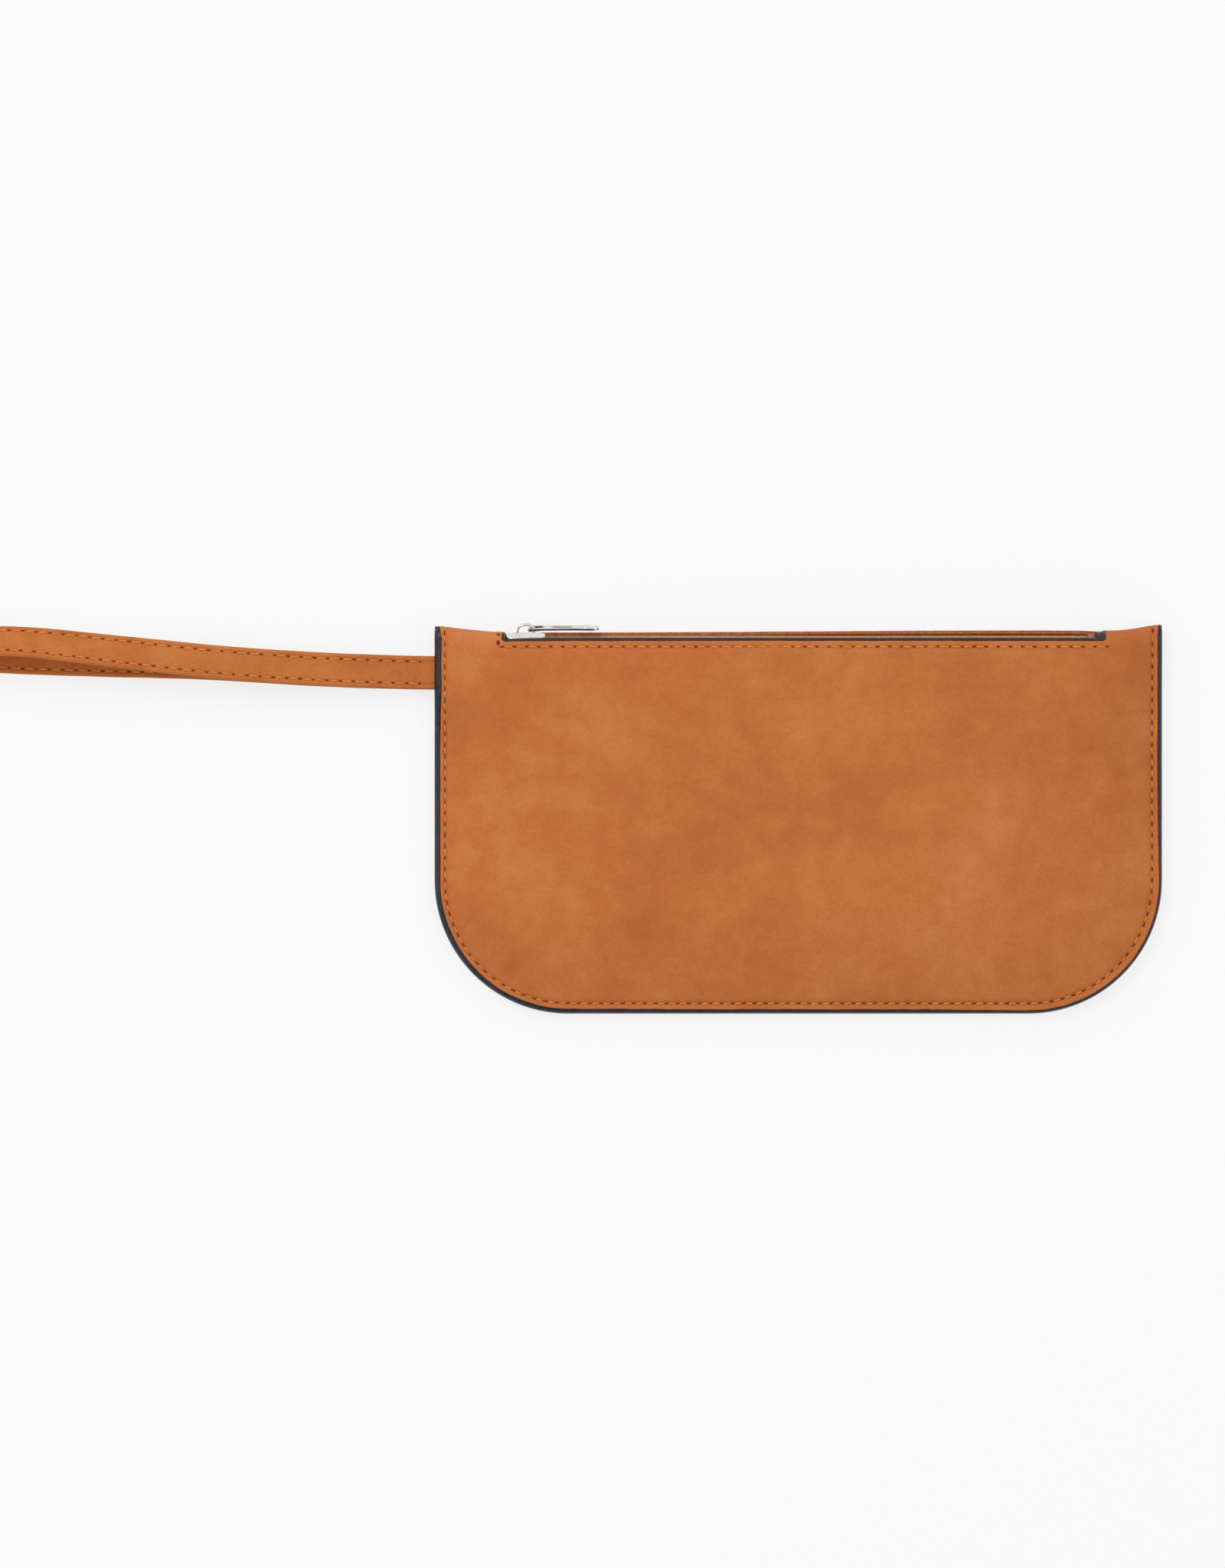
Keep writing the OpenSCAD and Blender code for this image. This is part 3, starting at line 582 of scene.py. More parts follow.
def shell_grid():
    """Vertex table of the folded leather: (side, station or row, place) -> number, with outer points and depths."""
    pts, nrm, info = [], [], []
    index = {}

    def put(key, p, n, g):
        index[key] = len(pts)
        pts.append(p)
        nrm.append(n)
        info.append(g)

    dk = np.array(D_BAND)
    for side in (0, 1):  # 0 front, 1 back
        for j in range(NU + 1):
            x, y = outline(np.full(KB, float(j)), dk)
            e = front_in(j) if side == 0 else IN_BACK
            px, py = outline(np.full(KB, float(j)), pull(dk, e + 0.02))
            h = relief(x, y, dk, float(j), side)
            z = z_front(x, y) + h if side == 0 else z_back(x, y) - np.minimum(h, 0.0) * 0.8
            edge = 0.28 * np.exp(-dk / 0.35)  # the cut edge is rubbed round
            z = z - edge if side == 0 else z + edge
            gr = np.exp(-(((dk - SEAM_IN) / 0.75) ** 2))
            # the needle holes are marked by adding two to the groove's value, which the leather's colour turns into
            # painted shade at each hole
            near = abs((j + 2) % 4 - 2) if 3 < j < NU - 3 else 9
            pit_shade = 2.0 * np.exp(-(((dk - SEAM_IN) / 0.42) ** 2)) * math.exp(-((near / 0.75) ** 2))
            for k in range(KB):
                put((side, "b", j, k), (px[k], py[k], z[k]), (x[k], y[k]), gr[k] + pit_shade[k])
        # the middle, row by row between the band's inner edges
        for r in range(M_ROWS + 1):
            j = r * FINE
            xl, yl = outline(float(j), D_BAND[-1])
            for c in range(M_COLS + 1):
                if c == 0:
                    index[(side, "m", r, c)] = index[(side, "b", j, KB - 1)]
                    continue
                if c == M_COLS:
                    index[(side, "m", r, c)] = index[(side, "b", NU - j, KB - 1)]
                    continue
                if r == M_ROWS:
                    index[(side, "m", r, c)] = index[(side, "b", j + c * FINE, KB - 1)]
                    continue
                x = mix(float(xl), -float(xl), c / M_COLS)
                y = float(yl) if r else float(arc_y(x))
                h = float(relief(x, y, 30.0, 2.0, side))
                z = float(z_front(x, y)) + h if side == 0 else float(z_back(x, y))
                put((side, "m", r, c), (x, y, z), (x, y), 0.0)
    # the fold: left band columns, middle columns, right band columns
    cols = [("b", 0, k) for k in range(KB)] + [("m", 0, c) for c in range(1, M_COLS)] + [("b", NU, k) for k in range(KB - 1, -1, -1)]
    cx = np.array([-HW + D_BAND[c[2]] if c[:2] == ("b", 0) else (HW - D_BAND[c[2]] if c[0] == "b" else mix(-90.0, 90.0, c[2] / M_COLS)) for c in cols])
    for i, phi in enumerate(FOLD_A):
        first, last = i == 0, i == len(FOLD_A) - 1
        x = end_shift(cx, phi)
        e = mix(np.where(cx < 0, IN_L, IN_R), IN_BACK, phi / 180)
        px = x - np.sign(cx) * (e + 0.02) * np.maximum(0, 1 - (HW - np.abs(cx)) / 3.6)
        h = np.zeros(len(cx))
        g = np.zeros(len(cx))
        for a in STITCH_A:
            w = np.exp(-(((phi - a) * RAD * FOLD_R / 0.55) ** 2)) * (cx > S0 - 1.5) * (cx < S1 + 1.5)
            h -= 0.2 * w
            g += w
        d_edge = HW - np.abs(cx)
        h -= (0.26 - 0.08) * np.exp(-(((d_edge - SEAM_IN) / 0.62) ** 2))
        g = np.maximum(g, np.exp(-(((d_edge - SEAM_IN) / 0.75) ** 2)))
        # the slot's cut edge is rubbed round
        near = np.minimum(np.abs(phi - A0), np.abs(phi - A1)) * RAD * FOLD_R
        outside = (phi <= A0) | (phi >= A1)
        in_x = (cx >= S0 - 1e-6) & (cx <= S1 + 1e-6)
        if outside:
            h -= 0.2 * np.exp(-near / 0.16) * in_x
        for s in (S0, S1):
            h -= 0.2 * np.exp(-np.abs(cx - s) / 0.3) * (not outside)
        h += 0.05 * wobble(cx, phi * 0.11, 11, 5) + 0.08 * wobble(cx, phi * 0.11, 30, 6)
        h -= 0.28 * np.exp(-d_edge / 0.35)
        r = arc_r(cx) + h
        for n, c in enumerate(cols):
            if first or last:
                index[("f", i, n)] = index[(0 if first else 1,) + c]
                continue
            put(("f", i, n), tuple(fold_pt(px[n], phi, r[n], cx[n])), (cx[n], 60.0), g[n])
    return index, np.array(pts), np.array(info), cols, cx


def shell_faces(index, cols, cx):
    f = []
    for side in (0, 1):
        q = []
        for j in range(NU):
            for k in range(KB - 1):
                q.append((index[(side, "b", j, k)], index[(side, "b", j + 1, k)], index[(side, "b", j + 1, k + 1)], index[(side, "b", j, k + 1)]))
        for r in range(M_ROWS):
            for c in range(M_COLS):
                left = [index[(side, "b", r * FINE + i, KB - 1)] for i in range(FINE + 1)] if c == 0 else [index[(side, "m", r, c)], index[(side, "m", r + 1, c)]]
                right = [index[(side, "b", NU - r * FINE - i, KB - 1)] for i in range(FINE, -1, -1)] if c == M_COLS - 1 else [index[(side, "m", r + 1, c + 1)], index[(side, "m", r, c + 1)]]
                mid = [index[(side, "b", M_ROWS * FINE + c * FINE + i, KB - 1)] for i in range(1, FINE)] if r == M_ROWS - 1 else []
                q.append(tuple(left + mid + right))
        f += q if side == 0 else [t[::-1] for t in q]
    n = len(cols)
    c0 = int(np.argmin(np.abs(cx - S0)))
    c1 = int(np.argmin(np.abs(cx - S1)))
    for i in range(len(FOLD_A) - 1):
        for c in range(n - 1):
            if ROW0 <= i < ROW1 and c0 <= c < c1:
                continue
            f.append((index[("f", i, c)], index[("f", i, c + 1)], index[("f", i + 1, c + 1)], index[("f", i + 1, c)])[::1])
    return f


def solid_from(points, inner, faces):
    """Closed solid from a surface, its inner copy, and walls round every open edge."""
    seen = {}
    for f in faces:
        for a, b in zip(f, f[1:] + f[:1]):
            seen[(a, b)] = seen.get((a, b), 0) + 1
    n = len(points)
    walls = [(a, b) for (a, b), c in seen.items() if (b, a) not in seen]
    allf = list(faces) + [tuple(i + n for i in f[::-1]) for f in faces] + [(b, a, a + n, b + n) for a, b in walls]
    kind = [0] * len(faces) + [1] * len(faces) + [2] * len(walls)
    return np.concatenate([points, inner]), allf, kind


def vertex_normals(points, faces):
    n = np.zeros_like(points)
    quads = np.array([f[:3] for f in faces])
    a, b, c = points[quads[:, 0]], points[quads[:, 1]], points[quads[:, 2]]
    fn = np.cross(b - a, c - a)
    for f, v in zip(faces, fn):
        for i in f:
            n[i] += v
    return unit(n)


index, P, G, cols, cx = shell_grid()
F = shell_faces(index, cols, cx)
NRM = vertex_normals(P, F)
flip = -1.0 if NRM[index[(0, "m", 5, 20)]][2] < 0 else 1.0
if flip < 0:
    F = [f[::-1] for f in F]
    NRM = -NRM
INNER = P - NRM * (LEATHER - 0.12)
sv, sf, kind = solid_from(P, INNER, F)
shell = make("leather_shell", sv, sf, mats=[M_LEATHER, M_FLESH], mat_index=[1 if k else 0 for k in kind], attrs={"groove": np.concatenate([G, G * 0])})
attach(shell, "wallet")
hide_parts("outer_shell")


# ------------------------------------------------------------------ painted edges
def edge_point(j, phi, left, e, dep, front):
    """A point of the seam's edge: along the outline at station j, or round the fold's end at angle phi."""
    if phi is None:
        x0, y0 = outline(float(j), 0.0)
        x, y = outline(float(j), e)
        z = float(z_front(x0, y0)) - dep if front else float(z_back(x0, y0)) + dep
        return (float(x), float(y), z)
    x0 = -HW if left else HW
    return tuple(fold_pt(x0 - math.copysign(e, x0), phi, float(arc_r(x0)) - dep, x0))


def paint_sweep(front):
    st = [(0, p, True) for p in (np.linspace(89, 4, 12) if front else np.linspace(91, 176, 12))]
    st += [(j, None, j < NU / 2) for j in range(NU + 1)]
    st += [(0, p, False) for p in (np.linspace(4, 89, 12) if front else np.linspace(176, 91, 12))]
    out = []
    for n, (j, phi, left) in enumerate(st):
        u = n * 0.907
        lap = 0.34 + 0.12 * float(wobble(u, 0.0, 5.0, 2)) + 0.10 * float(wobble(u, 3.0, 1.7, 4))
        soft = 1 + 0.10 * float(wobble(u, 7.0, 3.1, 3))
        if front:
            e = float(front_in(j)) if phi is None else mix(IN_L if left else IN_R, IN_BACK, phi / 180)
            prof = [(e + lap, 0.10), (e + lap * 0.7, -0.03), (e + 0.08, -0.05), (e * 0.82, 0.04), (e * 0.6, 0.20 * soft), (e * 0.38, 0.46 * soft), (e * 0.2, 0.82),
                    (0.07 + e * 0.05, 1.2), (0.0, 1.55), (0.05, 1.72), (0.35, 1.76), (e, 1.76)]
        else:
            prof = [(0.62, 1.76), (0.3, 1.76), (0.0, 1.70), (-0.06, 1.45), (-0.08, 1.1), (-0.05, 0.75), (0.04, 0.42), (0.2, 0.16), (0.42, 0.03), (0.62 + lap * 0.6, -0.03), (0.66 + lap, 0.10), (0.62, 0.6)]
        out.append([edge_point(j, phi, left, a, b, front) for a, b in prof])
    return rings(out)


for name, node, front in (("edge_paint_front", "front_edge_paint", True), ("edge_paint_back", "back_edge_paint", False)):
    v, f = paint_sweep(front)
    ob = outward(make(name, v, f, mats=[M_PAINT]))
    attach(ob, "wallet")
    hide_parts(node)


def slot_paint():
    """The paint on the slot's cut edge, as one closed ring following the rounded slot."""
    loop = []
    n_long, n_end = 150, 14
    xs = np.linspace(S0 + END_R, S1 - END_R, n_long)
    for x in xs:
        loop.append((x, A0, 0, 1))
    a_r = END_R / FOLD_R / RAD
    for t in np.linspace(0, 90, n_end)[1:]:
        loop.append((S1 - END_R + END_R * math.sin(t * RAD), A0 + a_r * (1 - math.cos(t * RAD)), math.sin(t * RAD), math.cos(t * RAD)))
    for a in np.linspace(A0 + a_r, A1 - a_r, 24)[1:]:
        loop.append((S1, a, 1, 0))
    for t in np.linspace(90, 0, n_end)[1:]:
        loop.append((S1 - END_R + END_R * math.sin(t * RAD), A1 - a_r * (1 - math.cos(t * RAD)), math.sin(t * RAD), -math.cos(t * RAD)))
    for x in xs[::-1][1:]:
        loop.append((x, A1, 0, -1))
    for t in np.linspace(0, 90, n_end)[1:]:
        loop.append((S0 + END_R - END_R * math.sin(t * RAD), A1 - a_r * (1 - math.cos(t * RAD)), -math.sin(t * RAD), -math.cos(t * RAD)))
    for a in np.linspace(A1 - a_r, A0 + a_r, 24)[1:]:
        loop.append((S0, a, -1, 0))
    for t in np.linspace(90, 0, n_end)[1:-1]:
        loop.append((S0 + END_R - END_R * math.sin(t * RAD), A0 + a_r * (1 - math.cos(t * RAD)), -math.sin(t * RAD), math.cos(t * RAD)))
    out, worn = [], []
    for i, (x, a, ox, oa) in enumerate(loop):
        u = i * 1.3
        end = abs(ox)
        lap = 0.16 + 0.07 * float(wobble(u, 2.0, 4.0, 5)) + (-0.08 if ox > 0 else 0.7) * end
        deep = 1 + (12.0 if ox > 0 else 0.5) * end
        slim = 1 - 0.6 * float(sm(0, 50, x)) * (1 - end)
        # (towards the slot's inside, radius)
        back = [(-lap, FOLD_R - 0.02), (-lap * 0.6, FOLD_R + 0.03), (0.02, FOLD_R - 0.06), (0.16 * deep * slim, FOLD_R - 0.24 * deep**0.5), (0.24 * deep * slim, FOLD_R - 0.6), (0.22 * deep * slim, FOLD_R - 1.0), (0.1 * slim, FOLD_R - 1.28), (-0.3, FOLD_R - 1.32), (-0.3, FOLD_R - 0.6)]
        # the front edge is skived to a lip that shows its paint from above
        k = 1 + 0.07 * float(wobble(u, 5.0, 9.0, 4))
        lip = [(-lap, FOLD_R - 0.02), (-lap * 0.4, FOLD_R + 0.05), (0.45 * k, FOLD_R + 0.03), (0.88 * k, FOLD_R - 0.06), (1.12 * k, FOLD_R - 0.22), (1.08 * k, FOLD_R - 0.45), (0.85, FOLD_R - 0.68), (0.45, FOLD_R - 0.98), (0.0, FOLD_R - 1.3)]
        q = float(sm(0.35, 0.95, oa))
        sec = [(mix(b0, l0, q), mix(b1, l1, q)) for (b0, b1), (l0, l1) in zip(back, lip)]
        out.append([fold_pt(x - ox * t, a + oa * t / FOLD_R / RAD, r) for t, r in sec])
        worn += [float(sm(0.3, 0.95, -oa))] * len(sec)
    v, f = rings(out, closed=True)
    return v, f, worn


v, f, worn = slot_paint()
slot_edge = outward(make("edge_paint_slot", v, f, mats=[M_PAINT], attrs={"worn": worn}))
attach(slot_edge, "wallet")
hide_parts("slot_edge_paint")


# ------------------------------------------------------------------ stitching
def stitch(heap, a, b, na, nb, radius=0.33, rise=0.30, sink=0.55, slant=0.0, sides=8, gap=0.17):
    """One sewn stitch from hole a to hole b, on a surface with normals na and nb."""
    a, b, na, nb = (np.asarray(v, float) for v in (a, b, na, nb))
    d = unit(b - a)
    n0 = unit(na + nb)
    c = np.cross(n0, d)
    t = np.linspace(0, 1, 11)
    s = gap + (1 - 2 * gap) * t
    p = a + (b - a) * s[:, None]
    lift = -sink + (sink + rise - 0.12) * np.clip(np.sin(np.pi * t), 0, 1) ** 0.42
    nn = unit(na + (nb - na) * t[:, None])
    p = p + nn * lift[:, None] + c * (slant * (t - 0.5))[:, None]
    r = radius * (1 + 0.05 * rng.standard_normal()) * (0.86 + 0.14 * np.sin(np.pi * t))
    v, f = tube(p, r, sides, n0, 0.82, 0.75, 0.16)
    heap.add(v, f)


def hole(heap, p, n, d, r=0.64, long=1.15):
    """A small pit at a needle hole, its dark colour painted shade: a shallow cup longer along the row, a little
    uneven.
    """
    n, d = unit(n), unit(d)
    c = np.cross(n, d)
    k = 12
    a = np.linspace(0, 2 * np.pi, k, endpoint=False)
    w = 1 + 0.10 * rng.standard_normal(k)
    lr = long * (1 + 0.16 * rng.standard_normal())
    ring = lambda q: p + (np.cos(a) * w)[:, None] * d * r * lr * q + (np.sin(a) * w)[:, None] * c * r * q
    v = np.concatenate([ring(1.0) - n * 0.02, ring(0.84) + n * 0.10, ring(0.5) + n * 0.06, [p - n * 0.0], [p - n * 0.35]])
    f = []
    for i in range(k):
        j = (i + 1) % k
        f.append((i, j, k + j, k + i))
        f.append((k + i, k + j, 2 * k + j, 2 * k + i))
        f.append((2 * k + i, 2 * k + j, 3 * k))
        f.append((j, i, 3 * k + 1))
    heap.add(v, f)


def surface_frame(j, side):
    """Point, normal and direction of the seam's stitch line at station j."""
    h = 0.4

    def at(jj, d):
        x, y = outline(float(jj), d)
        px, py = outline(float(jj), pull(d, (float(front_in(jj)) if side == 0 else IN_BACK) + 0.02))
        rel = float(relief(x, y, d, float(jj), side))
        z = float(z_front(x, y)) + rel if side == 0 else float(z_back(x, y)) - min(rel, 0) * 0.8
        return np.array([float(px), float(py), z])

    p = at(j, SEAM_IN)
    t = unit(at(j + h, SEAM_IN) - at(j - h, SEAM_IN)) if 0.5 < j < NU - 0.5 else unit(at(min(j + h, NU), SEAM_IN) - at(max(j - h, 0), SEAM_IN))
    w = unit(at(j, SEAM_IN + 2.2) - at(j, SEAM_IN - 2.0))
    n = unit(np.cross(w, t))
    if (n[2] < 0) == (side == 0):
        n = -n
    return p, n, t


def fold_normal(x, a, off):
    """Point and normal of the fold's outside at (x, a), off above it."""
    r = float(arc_r(x))
    n = unit(np.cross(fold_pt(x, a + 1, r) - fold_pt(x, a - 1, r), (1.0, 0, 0)))
    p = fold_pt(x, a, r)
    n = n if np.dot(n, p - fold_pt(x, a, r * 0.5)) > 0 else -n
    return p + n * off, n


def fold_mark(x, side):
    """Point, normal and direction of the seam's last needle hole, on the end of the fold."""
    p, n = fold_normal(x, 28.0 if side == 0 else 152.0, -0.16)
    return p, n, unit(np.cross(n, (1.0, 0, 0)))


for side, node, nm in ((0, "front_seam_stitching", "seam_stitches_front"), (1, "back_seam_stitching", "seam_stitches_back")):
    hs, hh_ = Heap(), Heap()
    # the row starts and ends one stitch up on the fold's end
    marks = [fold_mark(-HW + SEAM_IN, side)] + [surface_frame(j, side) for j in range(4, NU - 3, 4)] + [fold_mark(HW - SEAM_IN, side)]
    for (p, n, t) in marks:
        hole(hh_, p + n * 0.015, n, t)
    for k, ((p, n, t), (p2, n2, t2)) in enumerate(zip(marks, marks[1:])):
        end = k in (0, len(marks) - 2)
        stitch(hs, p, p2, n, n2, slant=0.16, rise=(0.32 if side == 0 else 0.2) + (0.14 if end else 0.0))
    ob = make(nm, hs.verts(), hs.f, mats=[M_THREAD])
    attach(ob, "wallet")
    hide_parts(node)
    ob = make(nm.replace("stitches", "holes"), hh_.verts(), hh_.f, mats=[M_HOLE_SHADE])
    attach(ob, "wallet")

# round the slot
hs, hh_ = Heap(), Heap()
for a in STITCH_A:
    n_st = 50
    xs = np.linspace(S0 - 0.6, S1 + 0.6, n_st + 1)
    pts = [fold_normal(x, a, -0.2) for x in xs]
    for p, n in pts:
        hole(hh_, p + n * 0.015, n, (1, 0, 0), 0.4, 1.35)
    for (p, n), (p2, n2) in zip(pts, pts[1:]):
        stitch(hs, p, p2, n, n2, slant=-0.16, rise=0.28)
for x in (S0 - 2.0,):
    pts = [fold_normal(x, a, -0.05) for a in np.linspace(STITCH_A[0] + 13, STITCH_A[1] - 13, 4)]
    for p, n in pts:
        hole(hh_, p + n * 0.015, n, np.cross(n, (1, 0, 0)))
    for (p, n), (p2, n2) in zip(pts, pts[1:]):
        stitch(hs, p, p2, n, n2, rise=0.34)
ob = make("slot_stitches", hs.verts(), hs.f, mats=[M_THREAD])
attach(ob, "wallet")
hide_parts("slot_stitching")
ob = make("slot_stitch_holes", hh_.verts(), hh_.f, mats=[M_HOLE_SHADE])
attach(ob, "wallet")

# ------------------------------------------------------------------ strap
STRAP_W, STRAP_T, STRAP_Y, LOOP_X, LOOP_GAP = 10.8, 1.8, 48.4, -263.0, 13.6
STRAP_Z = float(z_back(-HW, STRAP_Y) + thick(-HW, STRAP_Y) / 2)
HINGE_X = -HW - 4.2
BEND_R, LOW_Z = LOOP_GAP / 2, STRAP_T / 2


def path_mm(t):
    """The loop's centre line as in the CAD: 0 to 1 out along the upper limb, 1 to 2 round the bend, 2 to 3 back."""
    def out_y(u):
        return STRAP_Y + 4 * u + 6.2 * u**3 + 23.5 * u**4 - 23.4 * u**5

    def back_y(u):
        return STRAP_Y + 2.8 * u + 3.7 * u**2 + 34.1 * u**3 - 74 * u**4 + 38.8 * u**5

    if t <= 1:
        u = max(t, 0.0)
        return [mix(HINGE_X, LOOP_X, u), out_y(u), mix(STRAP_Z + STRAP_T / 2 + 0.03, LOW_Z + LOOP_GAP, math.sin(math.pi / 2 * u**0.92))]
    if t < 2:
        a = math.pi * (t - 1)
        return [LOOP_X - 1.25 * BEND_R * math.sin(a), mix(out_y(1), back_y(1), (1 - math.cos(a)) / 2), LOW_Z + BEND_R + BEND_R * math.cos(a)]
    u = min(max(3 - t, 0.0), 1.0)
    return [mix(HINGE_X, LOOP_X, u), back_y(u), LOW_Z + (STRAP_Z - STRAP_T / 2 - 0.03 - LOW_Z) * max(0, 1 - u / 0.42) ** 2]


def roll_deg(t):
    return -28 * float(sm(0.35, 1.1, t)) if t <= 1 else (mix(-26.6, 0.0, float(sm(1, 2, t))) if t < 2 else 0.0)


def strap_line():
    raw, roll = [], []
    for x in np.linspace(-109.5, HINGE_X, 26)[:-1]:
        raw.append([x, STRAP_Y, STRAP_Z + STRAP_T / 2 + 0.03]); roll.append(0.0)
    for t in np.concatenate([np.linspace(0, 1, 240)[:-1], np.linspace(1, 2, 60)[:-1], np.linspace(2, 3, 240)]):
        raw.append(path_mm(float(t))); roll.append(roll_deg(float(t)))
    for x in np.linspace(HINGE_X, -109.5, 26)[1:]:
        raw.append([x, STRAP_Y, STRAP_Z - STRAP_T / 2 - 0.03]); roll.append(0.0)
    raw, roll = np.array(raw), np.array(roll)
    s = np.concatenate([[0], np.cumsum(np.linalg.norm(np.diff(raw, axis=0), axis=1))])
    n = int(s[-1] / 0.62)
    q = np.linspace(0, s[-1], n + 1)
    p = np.stack([np.interp(q, s, raw[:, i]) for i in range(3)], 1)
    r = np.interp(q, s, roll)
    # ease the corners of the line
    k = np.exp(-((np.arange(-9, 10) / 4.0) ** 2)); k /= k.sum()
    for arr in (p,):
        pad = np.concatenate([np.repeat(arr[:1], 9, 0) + (arr[:1] - arr[1:2]) * np.arange(9, 0, -1)[:, None], arr, np.repeat(arr[-1:], 9, 0) + (arr[-1:] - arr[-2:-1]) * np.arange(1, 10)[:, None]])
        p = np.stack([np.convolve(pad[:, i], k, "valid") for i in range(3)], 1)
    free = sm(20, 60, q) * sm(20, 60, q[-1] - q)
    p[:, 1] += 0.25 * wobble(q, 0 * q, 31, 2) * free
    r = r + 1.6 * wobble(q, 0 * q + 5, 44, 6) * free
    return q, p, r


SQ, SP, SROLL = strap_line()
ST = unit(np.gradient(SP, axis=0))
SA = np.stack([0 * SROLL, np.cos(SROLL * RAD), np.sin(SROLL * RAD)], 1)
SA = unit(SA - ST * (SA * ST).sum(1, keepdims=True))
SN = np.cross(SA, ST)  # points out of the loop: up on the upper limb, down on the lower one
if SN[60][2] < 0:
    SN = -SN
STITCH_Q = STRAP_W / 2 - 1.8


def strap_profile(w, t):
    """Section of the turned-edge strap, as (across, out) points: rolled edges, a groove under each stitch row."""
    top = []
    for q in np.concatenate([np.linspace(-w / 2, -w / 2 + 2.6, 14), np.linspace(-w / 2 + 3.0, w / 2 - 3.0, 8), np.linspace(w / 2 - 2.6, w / 2, 14)]):
        e = w / 2 - abs(q)
        h = t / 2 * (1 - max(0, 1 - e / 0.95) ** 2.4) if e < 0.95 else t / 2
        h -= 0.17 * math.exp(-(((abs(q) - STITCH_Q) / 0.42) ** 2))
        h += 0.03 * math.exp(-(((abs(q) - STITCH_Q - 0.85) / 0.4) ** 2))
        h -= 0.05 * max(0, 1 - (q / (STITCH_Q - 0.6)) ** 2) if abs(q) < STITCH_Q - 0.6 else 0
        top.append((q, h))
    low = [(q, -h) for q, h in top[::-1][1:-1]]
    return np.array(top + low)


prof = strap_profile(STRAP_W, STRAP_T)
sect = []
for i in range(len(SP)):
    puff = 1 + 0.012 * float(wobble(SQ[i], 1.0, 7, 3))
    edge = 1.02 + 0.006 * float(wobble(SQ[i], 9.0, 5, 4))
    sect.append(SP[i] + prof[:, :1] * edge * SA[i] + prof[:, 1:] * puff * SN[i])
v, f = rings(sect)
gr = np.tile(np.exp(-(((np.abs(prof[:, 0]) - STITCH_Q) / 0.5) ** 2)), len(SP))
strap = outward(make("wrist_strap_loop", v, f, mats=[M_STRAP], attrs={"groove": gr}))
# rest coordinates follow the strap's own length, so that the grain doesn't mirror between the limbs
ra = np.zeros((len(v), 3), np.float32)
ra[:, 0] = np.repeat(SQ, len(prof)) * 0.001
ra[:, 1] = np.tile(prof[:, 0], len(SP)) * 0.001
ra[:, 2] = np.tile(prof[:, 1], len(SP)) * 0.001 + 0.2
strap.data.attributes["rest"].data.foreach_set("vector", ra.ravel())
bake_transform(strap)
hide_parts("wrist_strap", "strap_root")

hs, hh_ = Heap(), Heap()
n_st = int(round((SQ[-1] - 30) / 4.4))
marks = np.linspace(15.4, SQ[-1] - 15.4, n_st + 1)
at = lambda arr, s: np.array([np.interp(s, SQ, arr[:, i]) for i in range(3)])
for face in (1, -1):
    for row in (-1, 1):
        pts = []
        for s in marks + (0.0 if face > 0 else 0.15):
            p, t_, a_, n_ = at(SP, s), unit(at(ST, s)), unit(at(SA, s)), unit(at(SN, s)) * face
            pts.append((p + a_ * row * STITCH_Q + n_ * (STRAP_T / 2 - 0.17), n_, t_))
        for p, n, t in pts:
            hole(hh_, p + n * 0.02, n, t, 0.40, 1.45)
        for (p, n, t), (p2, n2, t2) in zip(pts, pts[1:]):
            stitch(hs, p, p2, n, n2, radius=0.31, rise=0.30, sink=0.4, slant=0.14 * row, sides=6)
ob = make("strap_stitches", hs.verts(), hs.f, mats=[M_THREAD])
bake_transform(ob)
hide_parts("strap_stitching")
ob = make("strap_stitch_holes", hh_.verts(), hh_.f, mats=[M_HOLE_SHADE])
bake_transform(ob)


